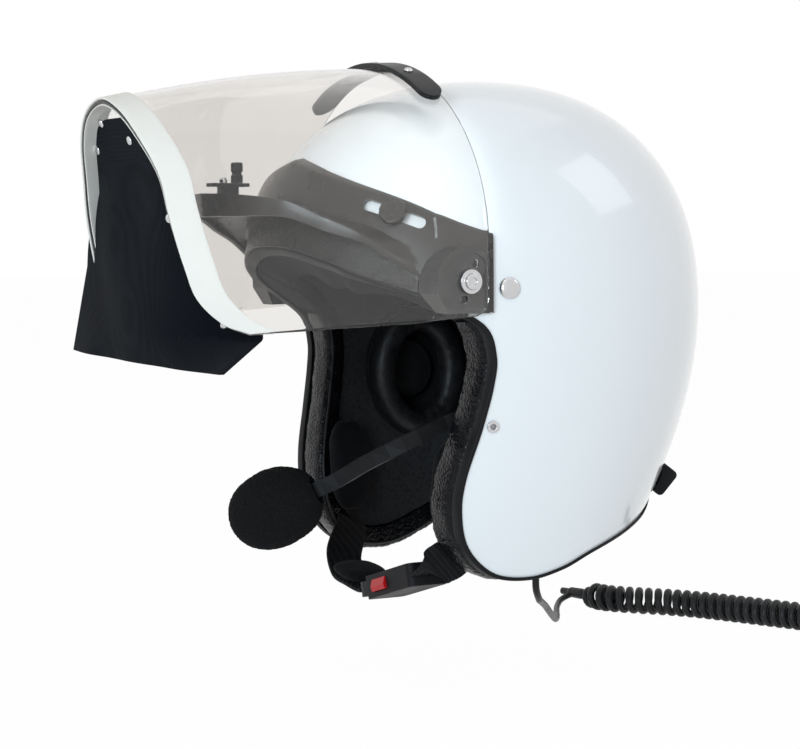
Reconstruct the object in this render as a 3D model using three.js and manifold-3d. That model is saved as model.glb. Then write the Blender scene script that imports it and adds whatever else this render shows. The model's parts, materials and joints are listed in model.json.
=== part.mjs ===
// Open-face gyrocopter helmet with a raised visor, headset and curled lead.
// Millimetres, +Z up. The wearer looks along -Y and the wearer's left is +X.
// The origin is in the middle of the head space, at the height of the visor's pivots.

import * as THREE from 'three';
import { mergeVertices } from 'three/addons/utils/BufferGeometryUtils.js';
import Module from 'manifold-3d';

const wasm = await Module();
wasm.setup();

// Clearances
const gap = 0.3;
const overrun = 6;
const weld = 0.0005;

// Outer shell: a dome on a skirt that draws in towards the neck
const shellHalfWidth = 122;
const shellHalfLength = 145;
const shellCentreY = -5;
const shellWidestZ = -20;
const shellDome = 141;
const shellSkirt = 176;
const shellWall = 4;
const sideTuck = 22;
const rearTuck = 66.4;
const tuckDepth = 155;
const planShare = 2.1;
const domeShare = 2.3;
const sideTuckShare = 2;
const rearTuckShare = 1.85;
const shellColumns = 32;
const domeRows = 8;
const skirtRows = 5;

// Rim: the side view of the shell's lower and front edge, from brow to nape, as shares of the
// shell's half length and of its dome
const rimShares = [
  [-1.15, 0.155], [-1.035, 0.142], [-0.94, 0.071], [-0.85, 0.01], [-0.65, -0.078],
  [-0.475, -0.18], [-0.428, -0.3], [-0.434, -0.42], [-0.47, -0.6], [-0.517, -0.8],
  [-0.522, -0.95], [-0.478, -1.1], [-0.36, -1.21], [-0.2, -1.234], [-0.05, -1.2],
  [0.1, -1.135], [0.345, -1.06], [0.572, -0.993], [0.676, -0.9], [0.772, -0.83], [1.2, -0.55],
];
const rimSteps = 40;

// Edge trim: a channel that grips the rim
const trimWall = 1.2;
const trimOuterLip = 1.6;
const trimInnerLip = 5;

// Impact liner and the rolls that cover its front edge
const linerWall = 22;
const rollWall = 22;
const rollDepth = 12;
const rollCrown = 3;
const cheekRollSteps = [9, 26];
const napeRollSteps = [26, 37];
const browRollSteps = [2, 8];
const rollSectionShares = [
  [0, 1, 0], [0, 0.1, 0], [0.14, 0, 0.6], [0.5, 0, 1], [0.86, 0, 0.6], [1, 0.1, 0], [1, 1, 0],
];

// Comfort pads
const padWall = 11;
const crownPadWall = 14;
const padInset = 4;
const padSink = 2;
const crownPadHalfWidth = 56;
const crownPadHalfLength = 70;
const browPadAngle = 50;
const browPadLow = 24;
const browPadHigh = 60;
const napePadAngle = 40;
const napePadLow = -98;
const napePadHigh = -52;
const cheekPadShare = 0.393103;
const cheekPadY = -shellHalfLength * cheekPadShare;
const cheekPadZ = -120;
const cheekPadHalfWidth = 17;
const cheekPadHalfHeight = 31;
const cheekPadWall = 16;
const cheekPadSteps = 22;

// Ear cups
const earY = 4;
const earZ = -62;
const cupHalfWidth = 35;
const cupHalfHeight = 43;
const cupDepth = 18;
const cupWall = 2.4;
const cupInset = 14;
const cupBackX = shellHalfWidth - cupInset;
const cupRound = 5;
const sealWidth = 17;
const sealWall = 13;
const sealSteps = 24;
const speakerRadius = 19;
const speakerWall = 6;
const speakerDome = 2;

// Microphone boom
const boomPivotShare = 0.3;
const boomPivotY = -shellHalfLength * boomPivotShare;
const boomPivotZ = -77;
const boomWall = 4;
const boomWidth = 9;
const boomEye = 8;
const boomPinRadius = 3;
const boomHeadRadius = 6;
const boomHeadWall = 2;
const boomBaseRadius = 9;
const boomBaseWall = 5;
const boomSteps = 14;
const boomRouteShares = [
  [0.6656, -0.3552, -0.5546], [0.6262, -0.4207, -0.5695], [0.5984, -0.4966, -0.5929], [0.5934, -0.6069, -0.6404],
  [0.541, -0.7034, -0.695], [0.418, -0.7793, -0.7624], [0.2951, -0.8414, -0.8333],
];
const muffCentreShares = [0.0984, -1.0345, -0.9539];
const muffHalfLength = 29;
const muffRadius = 23.5;
const muffRows = 9;
const capsuleRadius = 6.4;
const capsuleLength = 17;
const boomEndReach = 12;

// Chin strap and its buckle
const strapWall = 2.4;
const strapWidth = 25;
const strapTop = [-55, -156];
const strapLow = [-58, -163];
const strapSteps = 16;
const buckleCentre = [32, -73, -180.5];
const buckleTilt = 16;
const buckleHalfLength = 28;
const buckleHalfWidth = 13;
const buckleHalfWall = 7;
const buckleCorner = 4;
const tongueHalfWidth = 7;
const tongueWall = 2.6;
const tongueReach = 26;
const tongueHeadLength = 7;
const tongueHeadHalfWidth = 12.5;
const tongueHeadWall = 9;
const chinPadCentre = [-24.4, -73, -186.3];
const chinPadTilt = -8;
const chinPadHalfLength = 20;
const chinPadHalfWidth = 17;
const chinPadWall = 9;
const chinPadSteps = 22;
const buttonLength = 16;
const buttonHeight = 7.4;
const buttonDepth = 4.7;
const buttonProud = 2.2;
const buttonTravel = 2;
const buttonX = -9;
const leftStrapRoute = [[63, -71.5, -170.5], [63.4, -67, -167]];
const rightStrapRoute = [[-22, -73, -188.9], [-42, -71, -185.9], [-56, -67, -176]];

// Brow shield: stations from the front to the pivot. Each gives its angle as a share of
// browAngle, the heights of the flange's top and bottom, of the crease, and of the peak's upper
// and lower edge as shares of browHeight, and the peak's reach as a share of shellHalfLength
const browAngle = 63;
const browHeight = 72;
const browWallFront = 5;
const browWallRear = 2;
const browStand = 1;
const browSkin = 2.8;
const browLean = 7;
const browStationShares = [
  [0, 1, 0.5, 0.639, 0.708, 0.507, 1.293], [0.152, 0.931, 0.464, 0.603, 0.694, 0.507, 1.268],
  [0.31, 0.84, 0.4, 0.539, 0.639, 0.5, 1.197], [0.42, 0.774, 0.344, 0.483, 0.5, 0.389, 1.116],
  [0.53, 0.708, 0.285, 0.424, 0.375, 0.3, 1.055], [0.65, 0.625, 0.15, 0.333, 0.167, 0.111, 0.977],
  [0.8, 0.507, -0.042, 0.201, 0, -0.042, 0.901], [0.905, 0.43, -0.167, 0.069, -0.11, -0.167, 0.87],
  [1, 0.375, -0.25, -0.056, -0.195, -0.25, 0.84],
];
const peakEnd = 0.8;
const browSteps = 10;

// Slots of the brow shield and their clamp knobs
const slotAngle = 38;
const slotZ = 38.5;
const slotLength = 39;
const slotWidth = 7;
const slotTilt = 19;
const knobRadius = 8;
const knobWall = 5;
const knobShaftRadius = 3;

// Latch hardware on the peak
const latchShare = 1.168966;
const latchY = shellCentreY - shellHalfLength * latchShare;
const latchLength = 24;
const latchWidth = 12;
const latchWall = 2;
const latchBossWall = 4.4;
const latchBossLength = 10;
const postRadius = 3.5;
const postHeight = 12;
const postBehind = 5.7;
const postY = latchY + postBehind;
const latchScrewRadius = 2.3;
const latchScrewHeight = 3;
const latchScrewAhead = 3.1;
const latchScrewY = latchY - latchScrewAhead;

// Visor: a sheet ruled from a rear arch to a front edge. The front edge's places are shares of
// pivotX, of the shell's half length and of its dome
const pivotInset = 4;
const pivotX = shellHalfWidth - pivotInset;
const pivotShare = 0.527586;
const pivotY = shellCentreY - shellHalfLength * pivotShare;
const visorWall = 2.2;
const visorRearReach = 12.5;
const visorRearY = pivotY + visorRearReach;
const visorCrestStand = 5;
const visorRearHeight = shellWidestZ + shellDome + visorCrestStand;
const visorTabDrop = 19.6;
const visorTabCorner = 8;
const visorFlat = 34;
const visorTabRise = 20;
const archShare = 1.95;
const visorPivotHole = 4.8;
const detentRadius = 2.2;
const detentOffset = 10.7;
const detentAngle = 70;
const visorColumns = 36;
const visorFrontShares = [
  [0.66, -1.3724, -0.2057], [0.61, -1.4552, -0.1702], [0.56, -1.5517, -0.0709],
  [0.525, -1.5931, 0.0567], [0.49, -1.6414, 0.2482], [0.45, -1.669, 0.4113],
  [0.335, -1.7172, 0.5674], [0.2, -1.7448, 0.6667], [0, -1.7517, 0.7163],
];
const visorFlatShares = [0, 0.3, 1];
const visorTaperShares = [0.35, 0.7, 1];
const bandWidth = 16;
const bandWall = 1.2;
const bandGap = 0.5;
const curtainWall = 3;
const curtainInset = 0.9;
const curtainLow = -49;
const curtainSweep = 7;
const curtainWidthShare = 0.86;
const curtainHalfWidth = pivotX * curtainWidthShare;
const curtainShare = 1.6276;
const curtainY = -shellHalfLength * curtainShare;
const stripHalfWidth = 62;
const stripWidth = 15;
const stripWall = 2.4;
const stripScrewX = 34;
const stripScrewRadius = 2.6;
const stripScrewHeight = 1.6;

// Visor pivots and studs
const baseHalfWidth = 20;
const baseRear = 15;
const baseSeat = 3.4;
const baseCornerShare = 0.38;
const baseDrop = 18;
const baseRim = 3;
const basePocket = 1.6;
const pivotShaftRadius = 4.2;
const pivotShaftLength = 16;
const pivotFlangeRadius = 6.9;
const pivotFlangeWall = 1.2;
const pivotDomeRadius = 4.8;
const pivotDomeHeight = 2.2;
const studBehind = 28.1;
const studY = pivotY + studBehind;
const studZ = -4;
const studRadius = 6.2;
const studHeight = 3;
const rivetShare = 0.42069;
const rivetDropShare = 0.588652;
const rivetY = -shellHalfLength * rivetShare;
const rivetZ = -shellDome * rivetDropShare;
const rivetRadius = 3.6;
const rivetHole = 1.5;
const rivetHeight = 1.4;
const rivetShankRadius = 2.4;

// Rear clip on the rim
const clipAngle = 30;
const clipTopZ = -116;
const clipLength = 18;
const clipProud = 10;
const clipHalfWidth = 9;
const clipSlope = 52;
const clipCorner = 3;

// Lead, curled cord and plug. The cords lie on a surface at tableZ
const tableZ = -244;
const glandInset = 53.6;
const glandX = shellHalfWidth - glandInset;
const glandY = -3.6;
const glandEndShare = 1.262411;
const glandLength = 28;
const glandEndZ = -shellDome * glandEndShare;
const glandTopZ = glandEndZ + glandLength;
const glandTopRadius = 4.9;
const glandEndRadius = 3.4;
const leadRadius = 2.15;
const leadStepLength = 6;
const leadRoute = [
  [68.4, -3.6, -178.3], [67.9, -3, -186], [61, 3.5, -193.5], [40, 19, -199.5], [10, 42, -208],
  [-20, 65, -217.5], [-60, 95, -229.5], [-96, 122, -239.3], [-119, 138.5, -241.85],
  [-138, 151, -241.85], [-154, 162.5, -241.2], [-163, 172, -238.8], [-164, 178.5, -236.6],
  [-160.6, 182, -234.8],
];
const curlRadius = 7.1;
const curlCordRadius = 2.65;
const curlCount = 30;
const curlStepsEach = 8;
const curlSides = 5;
const curlRampShare = 1.5;
const curlRoute = [
  [-150.3, 183.7, -234.2], [-125.8, 188.6, -234.2], [-105.1, 202.9, -234.2], [-90.6, 214.6, -234.2],
  [-74.5, 224.6, -234.2], [-60, 231.6, -234.2], [-10, 251, -234.2], [40.9, 270.8, -234.2],
];
const plugRadius = 7;
const plugLength = 42;
const plugNeckRadius = 4.4;
const plugTipRadius = 3.55;
const plugTipLength = 26;
const plugSides = 10;
const plugGripShares = [
  [0, 0.62], [0.3, 0.72], [0.36, 1], [0.9, 1], [1, 0.85],
];
const plugTipShares = [
  [0, 1], [0.22, 1], [0.24, 0.86], [0.28, 0.86], [0.3, 1], [0.5, 1], [0.52, 0.86], [0.56, 0.86],
  [0.58, 1], [0.78, 1], [0.84, 0.62], [0.9, 0.9], [1, 0.3],
];

const axisX = new THREE.Vector3(1, 0, 0);
const axisY = new THREE.Vector3(0, 1, 0);
const axisZ = new THREE.Vector3(0, 0, 1);
const helmet = new THREE.Group();
const radians = THREE.MathUtils.degToRad;

// Materials
function finish(color, roughness, metalness) {
  return new THREE.MeshStandardMaterial({ color, roughness, metalness });
}
const looks = {
  white: () => finish(0xf2f3f5, 0.18, 0),
  rubber: () => finish(0x17181a, 0.7, 0),
  foam: () => finish(0x3a3b3d, 0.9, 0),
  leather: () => finish(0x141517, 0.4, 0),
  cloth: () => finish(0x1b1c1e, 0.9, 0),
  dark: () => finish(0x3a3432, 0.25, 0),
  black: () => finish(0x101113, 0.5, 0),
  clear: () => finish(0xd9cfc8, 0.08, 0),
  band: () => finish(0xe6e3df, 0.6, 0),
  neoprene: () => finish(0x0b0e13, 0.95, 0),
  chrome: () => finish(0xc9c9c9, 0.15, 1),
  red: () => finish(0xc3161f, 0.35, 0),
};

// Turn every face outwards
function facesOut(geometry) {
  const at = geometry.getAttribute('position');
  const index = geometry.getIndex();
  const a = new THREE.Vector3();
  const b = new THREE.Vector3();
  const c = new THREE.Vector3();
  let volume = 0;
  for (let i = 0; i < index.count; i += 3) {
    a.fromBufferAttribute(at, index.getX(i));
    b.fromBufferAttribute(at, index.getX(i + 1));
    c.fromBufferAttribute(at, index.getX(i + 2));
    volume += a.dot(b.cross(c));
  }
  if (volume < 0) {
    for (let i = 0; i < index.count; i += 3) {
      const first = index.getX(i);
      index.setX(i, index.getX(i + 1));
      index.setX(i + 1, first);
    }
  }
  return geometry;
}

// A closed geometry with merged vertices
function closed(source) {
  const geometry = source.clone();
  geometry.deleteAttribute('normal');
  geometry.deleteAttribute('uv');
  const merged = mergeVertices(geometry, weld);
  const kept = [];
  const index = merged.getIndex();
  for (let i = 0; i < index.count; i += 3) {
    const tri = [index.getX(i), index.getX(i + 1), index.getX(i + 2)];
    if (new Set(tri).size === tri.length) kept.push(...tri);
  }
  merged.setIndex(kept);
  return facesOut(merged);
}

function fromLists(points, triangles) {
  const geometry = new THREE.BufferGeometry();
  const flat = points.flatMap((p) => [p.x, p.y, p.z]);
  geometry.setAttribute('position', new THREE.Float32BufferAttribute(flat, 3));
  geometry.setIndex(triangles);
  return closed(geometry);
}

function solid(geometry) {
  const merged = closed(geometry);
  const vertProperties = Float32Array.from(merged.getAttribute('position').array);
  const triVerts = Uint32Array.from(merged.getIndex().array);
  return new wasm.Manifold(new wasm.Mesh({ numProp: 3, vertProperties, triVerts }));
}

function geometryOf(manifold) {
  const mesh = manifold.getMesh();
  const geometry = new THREE.BufferGeometry();
  geometry.setAttribute('position', new THREE.Float32BufferAttribute(mesh.vertProperties, 3));
  geometry.setIndex(Array.from(mesh.triVerts));
  return geometry;
}

function addPiece(name, shape, material, parent = helmet) {
  const source = shape instanceof THREE.BufferGeometry ? closed(shape) : geometryOf(shape);
  source.computeVertexNormals();
  const mesh = new THREE.Mesh(source, material);
  mesh.name = name;
  parent.add(mesh);
  return mesh;
}

function mirrored(geometry) {
  return closed(geometry.clone().scale(-1, 1, 1));
}

// Add one piece on each side of the helmet
function addPair(name, build, material) {
  const left = build();
  const shape = left instanceof THREE.BufferGeometry ? left : geometryOf(left);
  addPiece(`${name}_left`, shape, material());
  addPiece(`${name}_right`, mirrored(shape), material());
}

// A closed solid between two grids. pointAt takes shares across, along and through the sheet
function patchSolid(columns, rows, pointAt, levels = [0, 1]) {
  const points = [];
  const triangles = [];
  const put = (u, v, w) => points.push(pointAt(u, v, w)) - 1;
  const grid = (w) => rows.map((v) => columns.map((u) => put(u, v, w)));
  const low = grid(levels[0]);
  const high = grid(levels.at(-1));
  for (let j = 0; j + 1 < rows.length; j += 1) {
    for (let i = 0; i + 1 < columns.length; i += 1) {
      triangles.push(high[j][i], high[j][i + 1], high[j + 1][i + 1]);
      triangles.push(high[j][i], high[j + 1][i + 1], high[j + 1][i]);
      triangles.push(low[j][i], low[j + 1][i + 1], low[j][i + 1]);
      triangles.push(low[j][i], low[j + 1][i], low[j + 1][i + 1]);
    }
  }
  const edge = [
    ...columns.slice(0, -1).map((u) => [u, rows[0]]),
    ...rows.slice(0, -1).map((v) => [columns.at(-1), v]),
    ...columns.slice(1).reverse().map((u) => [u, rows.at(-1)]),
    ...rows.slice(1).reverse().map((v) => [columns[0], v]),
  ];
  const loops = levels.map((w) => edge.map(([u, v]) => put(u, v, w)));
  for (let k = 0; k + 1 < loops.length; k += 1) {
    edge.forEach((_, i) => {
      const next = (i + 1) % edge.length;
      triangles.push(loops[k][i], loops[k][next], loops[k + 1][next]);
      triangles.push(loops[k][i], loops[k + 1][next], loops[k + 1][i]);
    });
  }
  return fromLists(points, triangles);
}

// A closed solid through rings of points, capped at both ends
function loftSolid(rings) {
  const points = rings.flat();
  const triangles = [];
  const count = rings[0].length;
  for (let k = 0; k + 1 < rings.length; k += 1) {
    for (let i = 0; i < count; i += 1) {
      const next = (i + 1) % count;
      const a = k * count;
      const b = a + count;
      triangles.push(a + i, a + next, b + next, a + i, b + next, b + i);
    }
  }
  const cap = (ring, start, turned) => {
    const centre = new THREE.Vector3();
    ring.forEach((p) => centre.addScaledVector(p, 1 / count));
    const hub = points.push(centre) - 1;
    for (let i = 0; i < count; i += 1) {
      const next = (i + 1) % count;
      triangles.push(hub, start + (turned ? next : i), start + (turned ? i : next));
    }
  };
  cap(rings[0], 0, true);
  cap(rings.at(-1), (rings.length - 1) * count, false);
  return fromLists(points, triangles);
}

// A closed ring through sections of points
function ringSolid(sections) {
  const points = sections.flat();
  const triangles = [];
  const count = sections[0].length;
  sections.forEach((_, k) => {
    const a = k * count;
    const b = ((k + 1) % sections.length) * count;
    for (let i = 0; i < count; i += 1) {
      const next = (i + 1) % count;
      triangles.push(a + i, a + next, b + next, a + i, b + next, b + i);
    }
  });
  return fromLists(points, triangles);
}

function shares(count) {
  return Array.from({ length: count + 1 }, (_, i) => i / count);
}

// A turned piece: profile points are radius and place along the axis
function turned(profile, segments, axis, place) {
  const outline = profile.map(([radius, along]) => new THREE.Vector2(radius, along));
  const geometry = new THREE.LatheGeometry(outline, segments);
  geometry.applyQuaternion(new THREE.Quaternion().setFromUnitVectors(axisY, axis));
  geometry.translate(place.x, place.y, place.z);
  return closed(geometry);
}

function cylinder(radius, length, axis, centre, segments = 20) {
  const half = length / 2;
  return turned([[0, -half], [radius, -half], [radius, half], [0, half]], segments, axis, centre);
}

function box(width, depth, height, centre = new THREE.Vector3()) {
  const geometry = new THREE.BoxGeometry(width, depth, height);
  return geometry.translate(centre.x, centre.y, centre.z);
}

// A side view in Y and Z, drawn out along X from low to high
function sidePrism(points, low, high) {
  const shape = new THREE.Shape(points);
  const geometry = new THREE.ExtrudeGeometry(shape, { depth: high - low, bevelEnabled: false });
  geometry.applyMatrix4(new THREE.Matrix4().makeBasis(axisY, axisZ, axisX));
  return geometry.translate(low, 0, 0);
}

// Plan of the shell at a height: half width and half lengths at a depth under its surface
function plan(z, offset) {
  if (z >= shellWidestZ) {
    const rise = Math.min((z - shellWidestZ) / (shellDome + offset), 1);
    const share = (1 - rise ** domeShare) ** (1 / domeShare);
    const length = (shellHalfLength + offset) * share;
    return { width: (shellHalfWidth + offset) * share, front: length, rear: length };
  }
  const drop = (shellWidestZ - z) / tuckDepth;
  const side = sideTuck * drop ** sideTuckShare;
  return {
    width: shellHalfWidth + offset - side,
    front: shellHalfLength + offset,
    rear: shellHalfLength + offset - rearTuck * drop ** rearTuckShare,
  };
}

const power = (value, exponent) => Math.sign(value) * Math.abs(value) ** exponent;

// Point of the shell's surface at a height, in a direction that turns from the front to the left
function shellAt(turn, z, offset) {
  const { width, front, rear } = plan(z, offset);
  const across = Math.sin(turn);
  const ahead = Math.cos(turn);
  const length = ahead > 0 ? front : rear;
  const sum = Math.abs(across / width) ** planShare + Math.abs(ahead / length) ** planShare;
  const reach = sum ** (-1 / planShare);
  return new THREE.Vector3(reach * across, shellCentreY - reach * ahead, z);
}

// Half width of the shell's surface at a place of the side view
function shellX(y, z, offset) {
  const { width, front, rear } = plan(z, offset);
  const length = y < shellCentreY ? front : rear;
  const share = Math.min(Math.abs(y - shellCentreY) / length, 1);
  return width * (1 - share ** planShare) ** (1 / planShare);
}

// Height of the dome's surface over a place of the plan
function domeZ(x, y, offset) {
  const across = Math.abs(x) / (shellHalfWidth + offset);
  const along = Math.abs(y - shellCentreY) / (shellHalfLength + offset);
  const share = (across ** planShare + along ** planShare) ** (1 / planShare);
  return shellWidestZ + (shellDome + offset) * (1 - share ** domeShare) ** (1 / domeShare);
}

// The shell's outer form as a full body, moved in or out by an offset
function bodyOf(offset) {
  const ring = (z) => Array.from({ length: shellColumns }, (_, i) => {
    const turn = (i / shellColumns) * 2 * Math.PI;
    const { width, front, rear } = plan(z, offset);
    const ahead = Math.cos(turn);
    const length = ahead > 0 ? front : rear;
    const x = width * power(Math.sin(turn), 2 / planShare);
    return new THREE.Vector3(x, shellCentreY - length * power(ahead, 2 / planShare), z);
  });
  const rings = [];
  for (let k = 0; k < skirtRows; k += 1) {
    rings.push(ring(shellWidestZ - shellSkirt * (1 - k / skirtRows)));
  }
  for (let k = 0; k < domeRows; k += 1) {
    const rise = Math.sin((k / domeRows) * (Math.PI / 2)) ** (2 / domeShare);
    rings.push(ring(shellWidestZ + (shellDome + offset) * rise));
  }
  const top = new THREE.Vector3(0, shellCentreY, shellWidestZ + shellDome + offset);
  rings.push(Array.from({ length: shellColumns }, () => top.clone()));
  return solid(loftSolid(rings));
}

const rimCurve = new THREE.SplineCurve(
  rimShares.map(([y, z]) => new THREE.Vector2(y * shellHalfLength, z * shellDome)),
);

// Point of the rim's side view, moved into the shell by an inset
function rimAt(share, inset) {
  const point = rimCurve.getPointAt(share);
  const tangent = rimCurve.getTangentAt(share);
  return new THREE.Vector2(point.x - tangent.y * inset, point.y + tangent.x * inset);
}

// Everything above and behind the rim
function rimPrism(inset) {
  const points = shares(rimSteps).map((share) => rimAt(share, inset));
  const top = shellDome + 2 * overrun;
  const back = shellHalfLength * 2;
  const side = shellHalfWidth + 2 * overrun;
  points.push(new THREE.Vector2(back, points.at(-1).y), new THREE.Vector2(back, top));
  points.push(new THREE.Vector2(-back, top), new THREE.Vector2(-back, points[0].y));
  return solid(sidePrism(points, -side, side));
}

const linerOut = -(shellWall + gap);
const linerIn = linerOut - linerWall;
const padOut = linerIn - gap;

// Shell, trim and liner
const pivotPlace = new THREE.Vector3(pivotX, pivotY, 0);
const pivotBore = () => cylinder(pivotShaftRadius + gap, 8 * overrun, axisX, pivotPlace, 16);

function shellLayer(outer, inner) {
  return bodyOf(outer).subtract(bodyOf(inner));
}

function outerShell() {
  let shape = shellLayer(0, -shellWall).intersect(rimPrism(0));
  const { seat, normal } = surfaceNormal(rivetY, rivetZ);
  const hole = cylinder(rivetShankRadius + gap, 4 * overrun, normal, seat, 14);
  const screw = pivotBore();
  [hole, screw, mirrored(hole), mirrored(screw)].forEach((cut) => {
    shape = shape.subtract(solid(cut));
  });
  return shape;
}

function edgeTrim() {
  const wide = shellLayer(trimWall + gap, linerOut - trimWall);
  const lips = rimPrism(-trimWall - gap);
  const inside = shellLayer(-shellWall / 2, linerOut - trimWall - overrun);
  const cutOuter = rimPrism(trimOuterLip).subtract(inside);
  const cutInner = rimPrism(trimInnerLip);
  const core = shellLayer(gap, linerOut).intersect(rimPrism(-gap));
  return wide.intersect(lips).subtract(cutOuter).subtract(cutInner).subtract(core);
}

function impactLiner() {
  const layer = shellLayer(linerOut, linerIn).intersect(rimPrism(rollDepth + gap));
  const recess = cylinder(cupHalfWidth + gap, cupBackX + gap, axisX, new THREE.Vector3(), 24);
  recess.scale(1, 1, (cupHalfHeight + gap) / (cupHalfWidth + gap));
  const half = (cupBackX + gap) / 2;
  recess.translate(half, earY, earZ);
  return layer.subtract(solid(recess)).subtract(solid(mirrored(recess)));
}

const rollOut = linerOut - trimWall - 3 * gap;
const rollIn = rollOut - rollWall;

function cheekRoll() {
  const [first, last] = cheekRollSteps;
  const rings = [];
  for (let step = first; step <= last; step += 1) {
    rings.push(rollSectionShares.map(([through, back, crown]) => {
      const { x, y } = rimAt(step / rimSteps, rollDepth * back - rollCrown * crown);
      return new THREE.Vector3(shellX(x, y, rollOut - rollWall * through), x, y);
    }));
  }
  return loftSolid(rings);
}

// A roll across the helmet: the rim's length between two steps
function crossRoll([first, last]) {
  const full = shellLayer(rollOut, rollIn).intersect(rimPrism(0)).subtract(rimPrism(rollDepth));
  const from = rimAt(first / rimSteps, 0);
  const to = rimAt(last / rimSteps, 0);
  const wide = 3 * shellHalfWidth;
  const middle = new THREE.Vector3(0, (from.x + to.x) / 2, (from.y + to.y) / 2);
  const long = Math.abs(to.x - from.x) - 8 * gap;
  const high = Math.abs(to.y - from.y) + 2 * rollDepth;
  return full.intersect(solid(box(wide, long, high, middle)));
}

// Pads that lie on the liner's inside
const padLevelShares = [0, 0.3, 0.7, 1];
const padEdgeShare = 0.45;
const crowned = (u, v) => (1 - (2 * u - 1) ** 4) * (1 - (2 * v - 1) ** 4);

function wrappedPad(middle, angle, low, high) {
  const shape = patchSolid(shares(12), shares(4), (u, v, w) => {
    const pulled = (2 * w - 1) ** 2 * padInset;
    const height = high - low - 2 * pulled;
    const z = low + pulled + height * v;
    const narrowed = angle * (1 - pulled / shellHalfWidth);
    const thickness = padWall * (padEdgeShare + (1 - padEdgeShare) * crowned(u, v));
    return shellAt(radians(middle + narrowed * (2 * u - 1)), z, padOut + padSink - thickness * w);
  }, padLevelShares);
  return solid(shape).intersect(bodyOf(padOut));
}

function crownPad() {
  const shape = patchSolid(shares(7), shares(7), (u, v, w) => {
    const pulled = 1 - ((2 * w - 1) ** 2 * padInset) / crownPadHalfWidth;
    const a = (2 * u - 1) * pulled;
    const b = (2 * v - 1) * pulled;
    const x = crownPadHalfWidth * a * Math.sqrt(1 - b ** 2 / 2);
    const y = shellCentreY + crownPadHalfLength * b * Math.sqrt(1 - a ** 2 / 2);
    const thickness = crownPadWall * (0.4 + 0.6 * crowned(u, v));
    return new THREE.Vector3(x, y, domeZ(x, y, padOut) + padSink - thickness * w);
  }, padLevelShares);
  return solid(shape).intersect(bodyOf(padOut));
}

const strapRoom = strapWall + 2 * gap;

function cheekPad() {
  const levels = [[0.8, 0], [0.95, 0.12], [1, 0.4], [0.97, 0.7], [0.84, 0.92], [0.5, 1]];
  const rings = levels.map(([scale, through]) => (
    Array.from({ length: cheekPadSteps }, (_, i) => {
      const turn = (i / cheekPadSteps) * 2 * Math.PI;
      const y = cheekPadY + cheekPadHalfWidth * scale * power(Math.cos(turn), 2 / 3);
      const z = cheekPadZ + cheekPadHalfHeight * scale * power(Math.sin(turn), 2 / 3);
      const x = shellX(y, z, linerIn - strapRoom);
      return new THREE.Vector3(x - cheekPadWall * through, y, z);
    })
  ));
  return loftSolid(rings);
}

// Ear cups: turned about X, then stretched upwards
const cupMouthX = cupBackX - cupDepth;

function stretchedCup(geometry) {
  geometry.scale(1, 1, cupHalfHeight / cupHalfWidth);
  return geometry.translate(0, earY, earZ);
}

function earCup() {
  const r = cupHalfWidth;
  const profile = [
    [0, cupBackX], [r - cupRound, cupBackX], [r, cupBackX - cupRound], [r, cupMouthX],
    [r - cupWall, cupMouthX], [r - cupWall, cupBackX - cupRound],
    [r - cupRound, cupBackX - cupWall], [0, cupBackX - cupWall],
  ];
  return stretchedCup(turned(profile, 24, axisX, new THREE.Vector3()));
}

function speaker() {
  const back = cupBackX - cupWall - gap;
  const front = back - speakerWall;
  const r = speakerRadius;
  const profile = [
    [0, back], [r, back], [r, front], [r / 2, front - speakerDome * 0.8], [0, front - speakerDome],
  ];
  return turned(profile, 20, axisX, new THREE.Vector3(0, earY, earZ));
}

function earSeal() {
  const section = [[0, 0], [0.5, 0.25], [0.42, 0.75], [0.15, 1], [-0.2, 0.97], [-0.45, 0.7], [-0.5, 0.2]];
  const middleY = cupHalfWidth - sealWidth / 2 - gap;
  const middleZ = cupHalfHeight - sealWidth / 2 - gap;
  const sections = Array.from({ length: sealSteps }, (_, i) => {
    const turn = (i / sealSteps) * 2 * Math.PI;
    return section.map(([across, proud]) => {
      const y = earY + (middleY + sealWidth * across) * Math.cos(turn);
      const z = earZ + (middleZ + sealWidth * across) * Math.sin(turn);
      return new THREE.Vector3(cupMouthX - gap - sealWall * proud, y, z);
    });
  });
  return ringSolid(sections);
}

// Microphone boom
const boomSeatX = shellX(boomPivotY, boomPivotZ, linerIn);
const boomX = boomSeatX - boomBaseWall - boomWall / 2 - gap;
const shellPlace = ([x, y, z]) => (
  new THREE.Vector3(x * shellHalfWidth, y * shellHalfLength, z * shellDome)
);
const muffPlace = shellPlace(muffCentreShares);
const boomPoints = [
  new THREE.Vector3(boomX, boomPivotY, boomPivotZ),
  ...boomRouteShares.map(shellPlace),
];
const muffAxis = boomPoints.at(-1).clone().sub(muffPlace).normalize();

// A flat band along a line. Its width turns from one direction to another
function ribbon(points, steps, width, wall, widthFrom, widthTo = widthFrom) {
  const curve = new THREE.CatmullRomCurve3(points);
  return loftSolid(shares(steps).map((share) => {
    const middle = curve.getPointAt(share);
    const tangent = curve.getTangentAt(share);
    const across = widthFrom.clone().lerp(widthTo, share);
    across.addScaledVector(tangent, -across.dot(tangent)).normalize();
    const through = new THREE.Vector3().crossVectors(tangent, across);
    return [[-1, -1], [1, -1], [1, 1], [-1, 1]].map(([a, b]) => middle.clone()
      .addScaledVector(across, (a * width) / 2)
      .addScaledVector(through, (b * wall) / 2));
  }));
}

function micBoom() {
  const end = muffPlace.clone().addScaledVector(muffAxis, boomEndReach);
  const arm = ribbon([...boomPoints, end], boomSteps, boomWidth, boomWall, axisZ);
  const place = boomPoints[0];
  const eye = cylinder(boomEye, boomWall, axisX, place, 20);
  const hole = cylinder(boomPinRadius + gap, boomWall + 2 * overrun, axisX, place, 16);
  return solid(arm).add(solid(eye)).subtract(solid(hole));
}

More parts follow.
